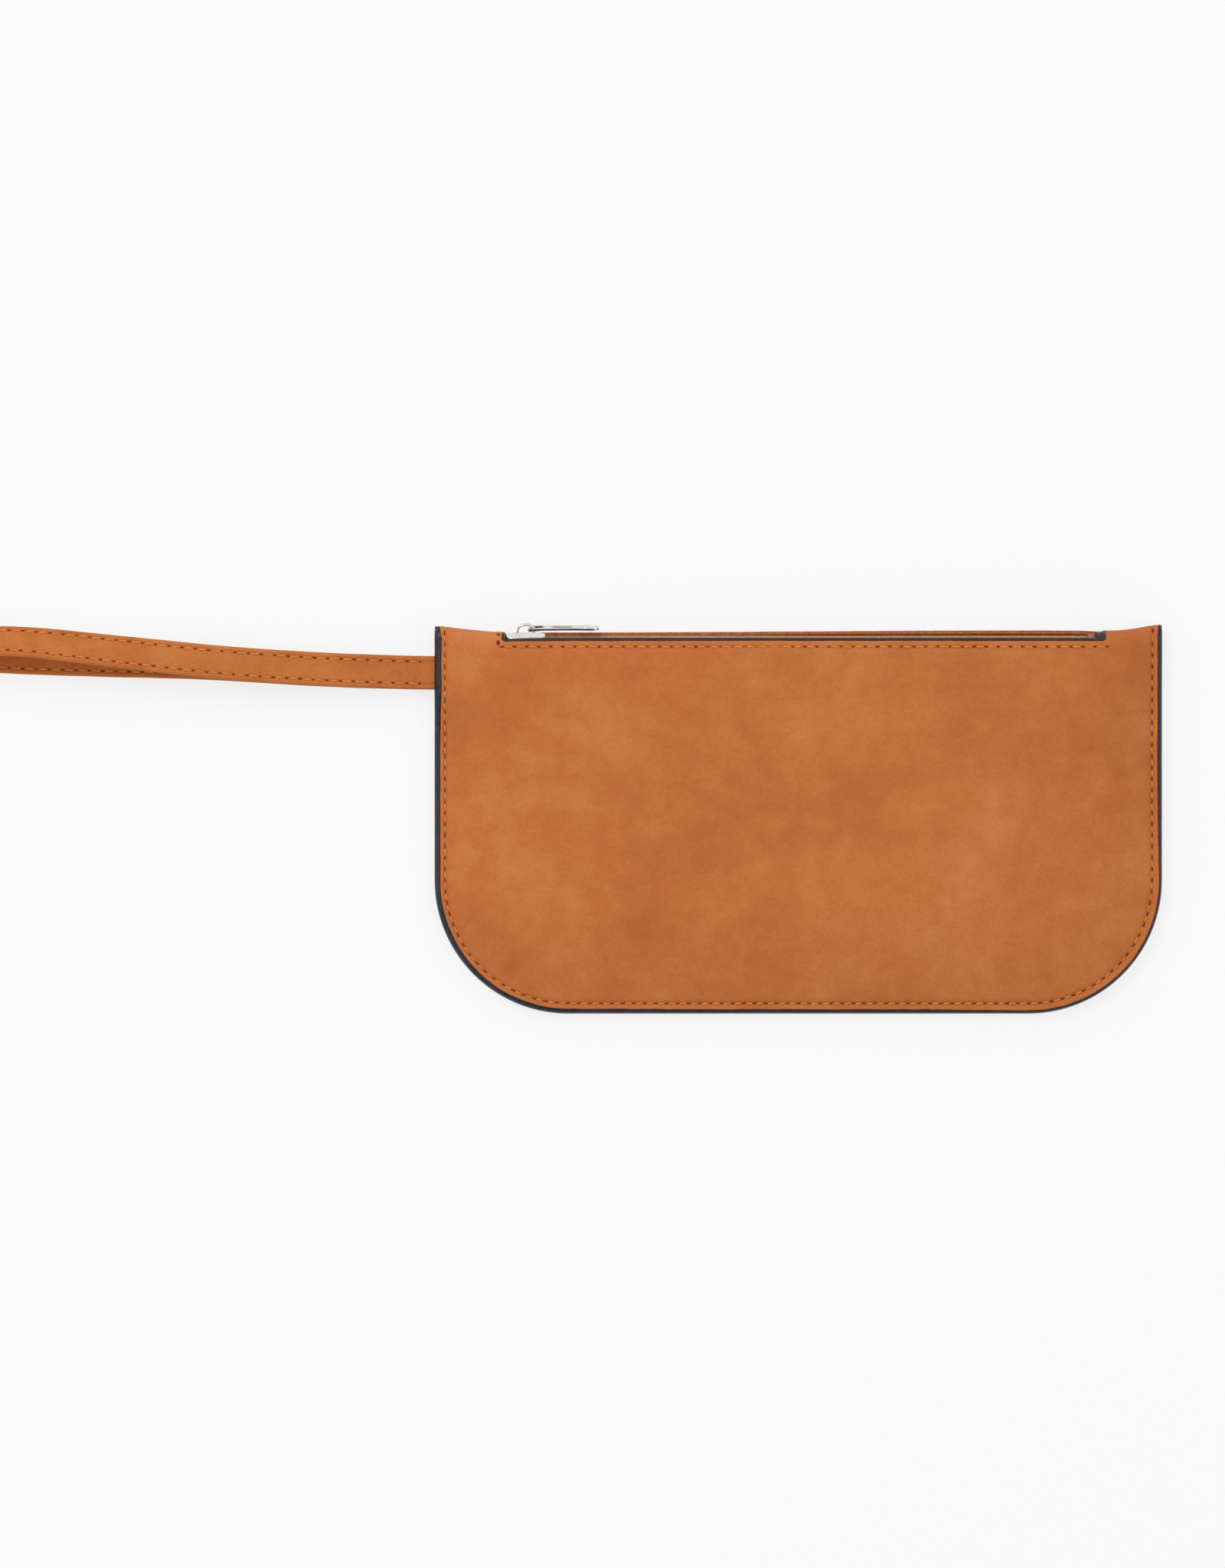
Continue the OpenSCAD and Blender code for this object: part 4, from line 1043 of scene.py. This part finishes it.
# ------------------------------------------------------------------ linings and pocket
def lining_sheet(name, node, front, d_list, depth, angles):
    pts, inn, idx, faces = [], [], {}, []
    st = list(range(0, NU + 1, 4))
    for a, j in enumerate(st):
        for k, d in enumerate(d_list):
            x, y = (float(q) for q in outline(float(j), float(d)))
            e = (float(front_in(j)) if front else IN_BACK) + 0.05
            px, py = (float(q) for q in outline(float(j), float(pull(d, e))))
            dep = LEATHER + 0.03 + (TAPE + 0.06) * float(sm(20, 38, y)) * float(sm(2, 12, dist(x, y)))
            w = 0.05 * float(wobble(x, y, 12, 6)) * float(sm(8, 20, d))
            z = float(z_front(x, y)) - dep - w if front else float(z_back(x, y)) + dep + w
            s = -1 if front else 1
            idx[("b", j, k)] = len(pts)
            pts.append((px, py, z))
            inn.append((px, py, z + s * LINING))
    last = len(d_list) - 1
    for j in st[:-1]:
        for k in range(last):
            faces.append((idx[("b", j, k)], idx[("b", j + 4, k)], idx[("b", j + 4, k + 1)], idx[("b", j, k + 1)]))
    rows, ncol = M_ROWS, M_COLS
    for r in range(rows + 1):
        for c in range(ncol + 1):
            if c == 0:
                idx[("m", r, c)] = idx[("b", r * 4, last)]
            elif c == ncol:
                idx[("m", r, c)] = idx[("b", NU - r * 4, last)]
            elif r == rows:
                idx[("m", r, c)] = idx[("b", r * 4 + c * 4, last)]
            else:
                xl, yl = (float(q) for q in outline(float(r * 4), 30.0))
                x = mix(xl, -xl, c / ncol)
                y = yl if r else float(arc_y(x))
                dep = LEATHER + 0.03 + (TAPE + 0.06) * float(sm(20, 38, y))
                w = 0.1 * float(wobble(x, y, 14, 6)) * (1 if r > 3 else 0)
                z = float(z_front(x, y)) - dep - abs(w) if front else float(z_back(x, y)) + dep + abs(w)
                s = -1 if front else 1
                idx[("m", r, c)] = len(pts)
                pts.append((x, y, z))
                inn.append((x, y, z + s * LINING))
    for r in range(rows):
        for c in range(ncol):
            faces.append((idx[("m", r, c)], idx[("m", r + 1, c)], idx[("m", r + 1, c + 1)], idx[("m", r, c + 1)]))
    # up round the inside of the fold to the slot's stitching
    top = [("b", 0, k) for k in range(last + 1)] + [("m", 0, c) for c in range(1, ncol)] + [("b", NU, k) for k in range(last, -1, -1)]
    tx = [-HW + d_list[c[2]] if c[:2] == ("b", 0) else (HW - d_list[c[2]] if c[0] == "b" else mix(-90.0, 90.0, c[2] / ncol)) for c in top]
    prev = [idx[c] for c in top]
    for a in angles:
        cur = []
        for x in tx:
            dep = LEATHER + 0.03 + (TAPE + 0.06) * float(sm(2, 12, HW - abs(x)))
            px = float(pull_x(x, mix(IN_L if x < 0 else IN_R, IN_BACK, a / 180) + 0.05))
            ring = [fold_pt(px, a, r, x, 0.0) for r in (float(arc_r(x)) - dep, max(0.06, float(arc_r(x)) - dep - LINING))]
            cur.append(len(pts))
            pts.append(ring[0])
            inn.append(ring[1])
        for c in range(len(top) - 1):
            faces.append((prev[c], prev[c + 1], cur[c + 1], cur[c]))
        prev = cur
    v, f, _ = solid_from(np.array(pts), np.array(inn), faces)
    ob = outward(make(name, v, f, mats=[M_LINING]))
    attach(ob, "wallet")
    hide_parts(node)
    area = 0.0
    q = np.array(pts)
    for t in faces:
        for i in range(1, len(t) - 1):
            area += np.linalg.norm(np.cross(q[t[i]] - q[t[0]], q[t[i + 1]] - q[t[0]])) / 2
    return ob, area * 1e-6


DL = [0, 1, 2.2, 3.5, 5, 7, 9.5, 12.5, 16, 20, 25, 30]
lf, area_f = lining_sheet("lining_front", "front_lining", True, DL, 0, [3, 5.2, 7.4, 9.5])
lb, area_b = lining_sheet("lining_back", "back_lining", False, DL, 0, [172, 164, 156, 149, 143, 137])


def pocket():
    xs = np.linspace(-1, 1, 49)
    ys = np.linspace(-HH + 18, 14, 30)
    pts, inn = [], []
    for y in ys:
        for u in xs:
            x = u * (HW - 18)
            px = math.copysign(mix(CX, abs(x), math.sqrt(float(clip((y + HH) / R)))), x) if abs(x) > CX else x
            top = float(sm(4, 14, y))
            z = float(z_back(px, y)) + LEATHER + LINING + 0.18 + 0.25 * top * (0.5 + 0.5 * math.cos(math.pi * u))
            pts.append((px, y, z))
            inn.append((px, y, z + LINING + (0.3 if y > 12.5 else 0)))
    m = len(xs)
    faces = [(i * m + j, i * m + j + 1, (i + 1) * m + j + 1, (i + 1) * m + j) for i in range(len(ys) - 1) for j in range(m - 1)]
    v, f, _ = solid_from(np.array(pts), np.array(inn), faces)
    q = np.array(pts)
    area = sum(np.linalg.norm(np.cross(q[t[1]] - q[t[0]], q[t[2]] - q[t[0]])) / 2 + np.linalg.norm(np.cross(q[t[2]] - q[t[0]], q[t[3]] - q[t[0]])) / 2 for t in faces)
    return v, f, area * 1e-6


v, f, area_p = pocket()
pk = outward(make("inner_slip_pocket", v, f, mats=[M_LINING]))
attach(pk, "wallet")
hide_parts("slip_pocket")


# ------------------------------------------------------------------ zip
def tape_mesh(side):
    """One zip tape: flat beside its fellow, then round the inside of the fold to its sewn edge."""
    xs = np.concatenate([[-106.5], np.linspace(-103, 103, 130), [106]])
    k0 = LEATHER + 0.04
    out, inn = [], []
    for x in xs:
        rr = float(arc_r(x)) - k0
        for k, store in ((0.0, out), (TAPE, inn)):
            row = []
            for w in np.concatenate([[0.42, 0.5, 0.62], np.linspace(0.9, rr * math.sin(HALF * RAD) - k, 8)]):
                # a rounded fold along the meeting edge, and slight ribs beside the chain stitching
                edge = -0.16 * math.exp(-(((w - 0.42) / 0.1) ** 2)) * (1 if store is out else -1)
                rib = 0.05 * math.exp(-(((w - 1.75) / 0.3) ** 2))
                row.append(zip_pt(x, side * w, rr * math.cos(HALF * RAD) - k + edge + rib))
            for a in (20, 15, 10, 5, 0) if side < 0 else (124, 132, 141, 150, 160, 170, 180):
                row.append(fold_pt(x, a, rr - k))
            for dy in (2.3, 4.6, 6.9):
                y = float(arc_y(x)) - dy
                row.append(np.array([x, y, float(z_front(x, y)) - k0 - k if side < 0 else float(z_back(x, y)) + k0 + k]))
            store.append(row)
    out, inn = np.array(out), np.array(inn)
    n, m = out.shape[:2]
    faces = [(i * m + j, i * m + j + 1, (i + 1) * m + j + 1, (i + 1) * m + j) for i in range(n - 1) for j in range(m - 1)]
    v, f, _ = solid_from(out.reshape(-1, 3), inn.reshape(-1, 3), faces)
    return v, f


for side, nm, node in ((-1, "zip_tape_front", "front_zip_tape"), (1, "zip_tape_back", "back_zip_tape")):
    v, f = tape_mesh(side)
    ob = outward(make(nm, v, f, mats=[M_TAPE]))
    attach(ob, "wallet")
    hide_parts(node)

COIL0, COIL1, PITCH = -96.2, 94.8, 1.5
for side, nm, node in ((-1, "zip_coil_front", "front_coil"), (1, "zip_coil_back", "back_coil")):
    n = int((COIL1 - COIL0 - 1.5) / PITCH)
    t = np.arange(0, n * 16 + 1) / 16.0
    ang = 2 * np.pi * t
    x = COIL0 + 0.75 + (0.0 if side < 0 else PITCH / 2) + PITCH * t - PITCH / 2 * 0.0
    # the wire goes straight out over the top, round its head, and back underneath
    w = 1.15 - 1.62 * np.tanh(1.7 * np.cos(ang)) / math.tanh(1.7)
    hgt = 0.52 * np.sin(ang)
    head = np.exp(-(((w + 0.45) / 0.35) ** 2))
    x = COIL0 + 0.6 + (0.0 if side < 0 else PITCH / 2) + PITCH * (t + 0.11 * np.sin(ang + 1.2))
    p = zip_pt(x, side * w, TAPE_N - TAPE - 0.02 - 0.31 - 0.5 - hgt)
    rad = 0.27 + 0.07 * head
    v, f = tube(p, rad, 8, NDIR)
    ob = make(nm, v, f, mats=[M_COIL])
    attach(ob, "wallet")
    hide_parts(node)

# the chain stitching that holds each coil to its tape, seen on the tape's outer face
hs = Heap()
for side in (-1, 1):
    for w in (1.35, 2.15):
        for k in range(int((COIL1 - COIL0 - 2) / 1.5)):
            x0 = COIL0 + 1.0 + 1.5 * k + (0.7 if w > 2 else 0)
            a, b = zip_pt(x0, side * w, TAPE_N - 0.02), zip_pt(x0 + 1.42, side * w, TAPE_N - 0.02)
            t = np.linspace(0, 1, 6)
            p = a + (b - a) * t[:, None] + NDIR * (0.17 * np.sin(np.pi * t))[:, None]
            hs.add(*tube(p, 0.15, 6, NDIR))
ob = make("zip_coil_sewing", hs.verts(), hs.f, mats=[M_SEWING])
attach(ob, "wallet")


# ------------------------------------------------------------------ metal parts
def plate_solid(outline_pts, n0, n1, dome=0.0, bevel=0.22, seg=3, centre=(0, 0)):
    """A plate from a closed (x, w) outline, with rounded rims and a low dome on top."""
    o = np.asarray(outline_pts, float)
    m = len(o)
    c = np.asarray(centre, float)
    d = unit(o - c)
    sec = []
    for i in range(seg + 1):
        a = math.pi / 2 * i / seg
        sec.append((bevel * (1 - math.sin(a)), n0 + bevel * (1 - math.cos(a))))
    sec = [(s, n) for s, n in sec]
    for i in range(seg + 1):
        a = math.pi / 2 * i / seg
        sec.append((bevel * (1 - math.cos(a)), n1 - bevel * (1 - math.sin(a))))
    v, f = [], []
    for s, n in sec:
        q = o - d * s
        v.extend(zip_pt(q[:, 0], q[:, 1], n))
    rows = len(sec)
    for i in range(rows - 1):
        for j in range(m):
            k = (j + 1) % m
            f.append((i * m + j, i * m + k, (i + 1) * m + k, (i + 1) * m + j))
    # domed top and flat bottom, as shrinking rings
    def cap(base, n, dom, turn):
        prev = base
        cur_o = o - d * (bevel if True else 0)
        for t in (0.8, 0.55, 0.3):
            q = c + (cur_o - c) * t
            start = len(v)
            v.extend(zip_pt(q[:, 0], q[:, 1], n + dom * (1 - t * t)))
            for j in range(m):
                k = (j + 1) % m
                face = (prev + j, prev + k, start + k, start + j)
                f.append(face if not turn else face[::-1])
            prev = start
        v.append(zip_pt(c[0], c[1], n + dom))
        tip = len(v) - 1
        for j in range(m):
            k = (j + 1) % m
            f.append((prev + j, prev + k, tip) if not turn else (prev + k, prev + j, tip))
    cap((rows - 1) * m, n1, dome, False)
    cap(0, n0, 0.0, True)
    return np.array(v), f


def mirror_outline(half):
    """A closed outline from its half with w of 0 or more, mirrored in the parting line."""
    h = [tuple(p) for p in half]
    return h + [(x, -w) for x, w in h[::-1] if w > 1e-6]


def smooth_line(pts, n):
    """A Catmull-Rom line through points."""
    p = np.asarray(pts, float)
    p = np.concatenate([[2 * p[0] - p[1]], p, [2 * p[-1] - p[-2]]])
    out = []
    k = len(p) - 3
    for i in range(k):
        a, b, c, d = p[i:i + 4]
        for t in np.linspace(0, 1, n, endpoint=False):
            out.append(0.5 * (2 * b + (c - a) * t + (2 * a - 5 * b + 4 * c - d) * t**2 + (3 * b - 3 * c + d - a) * t**3))
    out.append(p[-2])
    return np.array(out)


PLATE_LO = TAPE_N + 0.3
BOTTOM_HI = TAPE_N - TAPE - 1.53 - 0.32
SX0, SL = -96.4, 12.9
half = smooth_line([(SX0, 0.0), (SX0 + 0.05, 1.3), (SX0 + 0.35, 2.35), (SX0 + 1.2, 3.05), (SX0 + 2.8, 3.3), (SX0 + 5.5, 3.28), (SX0 + 8.2, 3.12), (SX0 + 10.6, 2.85), (SX0 + 12.1, 2.45), (SX0 + 12.75, 1.7), (SX0 + 12.9, 0.0)], 5)
half[:, 1] = np.maximum(half[:, 1], 0)
top_o = np.array(mirror_outline(half[half[:, 1] >= 0]))
hp = Heap()
v, f = plate_solid(top_o, PLATE_LO, PLATE_LO + 1.0, 0.0, 0.26, 4, (SX0 + SL / 2, 0))
hp.add(v, f)
bot = top_o.copy()
bot[:, 1] *= 1.08
v, f = plate_solid(bot, BOTTOM_HI - 1.0, BOTTOM_HI, 0.0, 0.25, 3, (SX0 + SL / 2, 0))
hp.add(v, f)
# side flanges, turned up from the lower plate round the coil
for s in (-1, 1):
    secs = []
    for x in np.linspace(SX0 + 1.5, SX0 + SL - 1.5, 18):
        lo, hi = BOTTOM_HI - 0.4, BOTTOM_HI + 1.05
        wi, wo = 3.2, 3.68
        ring = [(wi, lo), (wi, hi - 0.12), (wi + 0.12, hi), (wo - 0.15, hi), (wo, hi - 0.15), (wo, lo)]
        secs.append([zip_pt(x, s * a, b) for a, b in ring])
    v, f = rings(secs)
    hp.add(v, f)
# the post that joins the plates at the nose
post = []
for n in np.linspace(BOTTOM_HI - 0.3, PLATE_LO + 0.3, 4):
    a = np.linspace(0, 2 * np.pi, 16, endpoint=False)
    post.append(zip_pt(SX0 + 2.2 + 1.4 * np.cos(a), 0.38 * np.sin(a), n))
v, f = rings(post)
hp.add(v, f)
slider = outward(make("zip_slider_body", hp.verts(), hp.f, mats=[M_METAL]))
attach(slider, "slider")
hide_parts("slider_body")

# crown: a stamped bridge with wide feet, high enough for the pull tab's bar
TOP = PLATE_LO + 1.0
line = smooth_line([(-92.5, TOP - 0.1), (-92.5, TOP + 0.9), (-92.45, TOP + 1.9), (-92.0, TOP + 2.95), (-90.9, TOP + 3.56), (-89.8, TOP + 3.64), (-88.7, TOP + 3.54), (-87.75, TOP + 2.95), (-87.35, TOP + 1.9), (-87.25, TOP + 0.9), (-87.2, TOP - 0.1)], 6)
secs = []
tl = unit(np.gradient(line, axis=0))
for i, (p, t) in enumerate(zip(line, tl)):
    nx, nn = -t[1], t[0]
    foot = max(0, 1 - (p[1] - TOP) / 1.0)
    wd, th = 0.98 + 0.3 * foot, 0.36 + 0.16 * foot
    ring = []
    for a in np.linspace(0, 2 * np.pi, 16, endpoint=False):
        ca, sa = math.cos(a), math.sin(a)
        sq = lambda c: math.copysign(abs(c) ** 0.55, c)
        u, h = wd * sq(ca), th * sq(sa)
        ring.append(zip_pt(p[0] + nx * h, u, p[1] + nn * h))
    secs.append(ring)
v, f = rings(secs)
crown = outward(make("zip_slider_crown", v, f, mats=[M_METAL]))
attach(crown, "slider")
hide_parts("slider_crown")

# pull tab: bar, two arms and a long tab with a slot and a raised grip
BAR_X, BAR_N = -88.75, PLATE_LO + 1.0 + 2.25


def tab_solid():
    import bmesh
    bm = bmesh.new()
    hw = 2.1
    outer = [(4.8, hw)]
    outer += [(x, hw + w) for x, w in ((7.0, 0.02), (9.5, -0.1), (12, -0.22), (15, -0.22), (17.5, -0.1), (19.4, 0.0))]
    for a in np.linspace(90, -90, 19)[1:-1]:
        outer.append((20.98 + 2.12 * math.cos(a * RAD), 2.1 * math.sin(a * RAD)))
    outer += [(x, -hw - w) for x, w in ((19.4, 0.0), (17.5, -0.1), (15, -0.22), (12, -0.22), (9.5, -0.1), (7.0, 0.02))]
    outer += [(4.8, -hw)]
    # lower arm, round its eye, the gap, and the upper arm
    arm = [(0.0, -hw), (-0.3, -2.03), (-0.48, -1.72), (-0.3, -1.42), (0.0, -1.35), (4.3, -1.35), (4.85, -1.0), (5.0, 0), (4.85, 1.0), (4.3, 1.35), (0.0, 1.35), (-0.3, 1.42), (-0.48, 1.72), (-0.3, 2.03), (0.0, hw)]
    loop = outer + arm
    hole_loop = []
    for a in np.linspace(90, 270, 9):
        hole_loop.append((8.0 + 0.72 * math.cos(a * RAD), 0.72 * math.sin(a * RAD)))
    for a in np.linspace(-90, 90, 9):
        hole_loop.append((13.6 + 0.72 * math.cos(a * RAD), 0.72 * math.sin(a * RAD)))
    low, high = -0.5, 0.5
    lift = lambda x, n: mix(n, 0.6 if n > 0 else -0.1, float(sm(1.5, 5.0, x)))

    def ringv(pts, n):
        return [bm.verts.new(Vector(zip_pt(BAR_X + x, w, BAR_N + lift(x, n)) * 0.001)) for x, w in pts]

    def wall(pts):
        a, b = ringv(pts, low), ringv(pts, high)
        k = len(pts)
        for i in range(k):
            bm.faces.new((a[i], a[(i + 1) % k], b[(i + 1) % k], b[i]))
        return a, b

    la, lb_ = wall(loop)
    ha, hb = wall(hole_loop)
    for s1, s2 in ((la, ha), (lb_, hb)):
        edges = []
        for s in (s1, s2):
            for i in range(len(s)):
                e = bm.edges.get((s[i], s[(i + 1) % len(s)]))
                edges.append(e)
        bmesh.ops.triangle_fill(bm, use_beauty=True, use_dissolve=False, edges=edges)
    bmesh.ops.recalc_face_normals(bm, faces=bm.faces)
    me = bpy.data.meshes.new("zip_pull_tab")
    bm.to_mesh(me)
    bm.free()
    return me


me = tab_solid()
me.materials.append(M_METAL)
co = np.array([v.co for v in me.vertices], np.float32)
a = me.attributes.new("rest", "FLOAT_VECTOR", "POINT")
a.data.foreach_set("vector", co.ravel())
tab = bpy.data.objects.new("zip_pull_tab", me)
bpy.context.scene.collection.objects.link(tab)
bv = tab.modifiers.new("bevel", "BEVEL")
bv.width, bv.segments, bv.limit_method, bv.angle_limit = 0.00018, 3, "ANGLE", 40 * RAD
bv.harden_normals = False
me.polygons.foreach_set("use_smooth", np.full(len(me.polygons), True))
wn = tab.modifiers.new("wn", "WEIGHTED_NORMAL")
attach(tab, "pull_tab")
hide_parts("pull_tab")

hp = Heap()
p = zip_pt(BAR_X, np.linspace(-2.04, 2.04, 12), BAR_N)
hp.add(*tube(p, 0.49, 24, (1, 0, 0)))
# raised grip near the tip, on both faces
for s, n0 in ((1, 0.55), (-1, -0.06)):
    for r0, r1, h in ((1.5, 1.25, 0.40),):
        secs = []
        for k, (rr, hh2) in enumerate(((r0, 0.0), (r0, 0.14), (r0 - 0.08, 0.26), (r1, h), (0.9, h + 0.03), (0.3, h + 0.04))):
            a_ = np.linspace(0, 2 * np.pi, 28, endpoint=False)
            secs.append(zip_pt(BAR_X + 18.9 + rr * 1.15 * np.cos(a_), rr * np.sin(a_), BAR_N + n0 + s * hh2 * (1 if s > 0 else 0.2)))
        hp.add(*rings(secs))
grip = outward(make("zip_pull_bar_and_grip", hp.verts(), hp.f, mats=[M_METAL]))
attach(grip, "pull_tab")

# stops: small crimped staples
hp = Heap()
for s in (-1, 1):
    secs = []
    for k, xx in enumerate(np.linspace(-99.4, -97.2, 7)):
        e = 1 - abs(k - 3) / 3 * 0.18
        secs.append([zip_pt(xx, s * (1.65 + 0.75 * e * math.copysign(abs(math.cos(a)) ** 0.6, math.cos(a))), TAPE_N + 0.42 + 0.4 * e * math.copysign(abs(math.sin(a)) ** 0.6, math.sin(a))) for a in np.linspace(0, 2 * np.pi, 14, endpoint=False)])
    hp.add(*rings(secs))
ob = outward(make("zip_top_stops", hp.verts(), hp.f, mats=[M_METAL]))
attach(ob, "wallet")
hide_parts("top_stops")
hp = Heap()
secs = []
for k, xx in enumerate(np.linspace(95.2, 98.2, 9)):
    e = 1 - (abs(k - 4) / 4) ** 2 * 0.2
    secs.append([zip_pt(xx, 2.7 * e * math.copysign(abs(math.cos(a)) ** 0.5, math.cos(a)), TAPE_N + 0.57 + 0.55 * e * math.copysign(abs(math.sin(a)) ** 0.5, math.sin(a))) for a in np.linspace(0, 2 * np.pi, 20, endpoint=False)])
hp.add(*rings(secs))
ob = outward(make("zip_bottom_stop", hp.verts(), hp.f, mats=[M_STOP]))
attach(ob, "wallet")
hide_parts("bottom_stop")

# ------------------------------------------------------------------ floor, light and camera
floor_me = bpy.data.meshes.new("floor")
s = 6.0
floor_me.from_pydata([(-s, -s, -0.0003), (s, -s, -0.0003), (s, s, -0.0003), (-s, s, -0.0003)], [], [(0, 1, 2, 3)])
floor = bpy.data.objects.new("floor", floor_me)
bpy.context.scene.collection.objects.link(floor)
fm = Mat("floor_white")
fm.set(Roughness=0.9, Specular_IOR_Level=0.0)
fm.b.inputs["Base Color"].default_value = (0.17, 0.17, 0.17, 1)
fm.b.inputs["Emission Color"].default_value = (1, 1, 1, 1)
fm.b.inputs["Emission Strength"].default_value = 0.765
floor_me.materials.append(fm.m)

world = bpy.data.worlds.new("world")
bpy.context.scene.world = world
world.use_nodes = True
bg = next(n for n in world.node_tree.nodes if n.type == "BACKGROUND")
bg.inputs["Strength"].default_value = 0.895
wt = world.node_tree
tc = wt.nodes.new("ShaderNodeTexCoord")
dot = wt.nodes.new("ShaderNodeVectorMath")
dot.operation = "DOT_PRODUCT"
dot.inputs[1].default_value = (0.0, -0.60, 0.80)
wt.links.new(tc.outputs["Generated"], dot.inputs[0])
wr = wt.nodes.new("ShaderNodeValToRGB")
we = wr.color_ramp.elements
we[0].position, we[0].color = 0.88, (1, 1, 1, 1)
we[1].position, we[1].color = 0.95, (0.05, 0.045, 0.045, 1)
wt.links.new(dot.outputs["Value"], wr.inputs["Fac"])
wt.links.new(wr.outputs["Color"], bg.inputs["Color"])


def area_light(name, loc, target, size, power):
    ld = bpy.data.lights.new(name, "AREA")
    ld.shape, ld.size, ld.size_y, ld.energy = "RECTANGLE", size[0], size[1], power
    lo = bpy.data.objects.new(name, ld)
    bpy.context.scene.collection.objects.link(lo)
    lo.location = loc
    lo.rotation_euler = (Vector(target) - Vector(loc)).to_track_quat("-Z", "Y").to_euler()
    return lo


area_light("key", (-0.9, 0.9, 1.5), (-0.06, 0, 0), (1.0, 0.8), 13.8)
area_light("fill", (0.9, -0.5, 1.6), (-0.06, 0, 0), (1.4, 1.4), 4.6)

cam_d = bpy.data.cameras.new("camera")
cam = bpy.data.objects.new("camera", cam_d)
bpy.context.scene.collection.objects.link(cam)
DIST = 2.4
cam_d.sensor_fit = "AUTO"
cam_d.sensor_width = 36.0
cam_d.lens = 36.0 * (DIST - 0.006) / (2048 * 0.25237e-3)
cam.location = ((800 - 1043) * 0.25237e-3, (1070.5 - 1024) * 0.25237e-3, DIST)
cam.rotation_euler = (0, 0, 0)
cam_d.clip_start, cam_d.clip_end = 0.05, 50
bpy.context.scene.camera = cam
bpy.context.scene.view_settings.view_transform = "Standard"
bpy.context.scene.view_settings.look = "None"
bpy.context.scene.view_settings.exposure = 0.0
bpy.context.scene.view_settings.gamma = 1.0
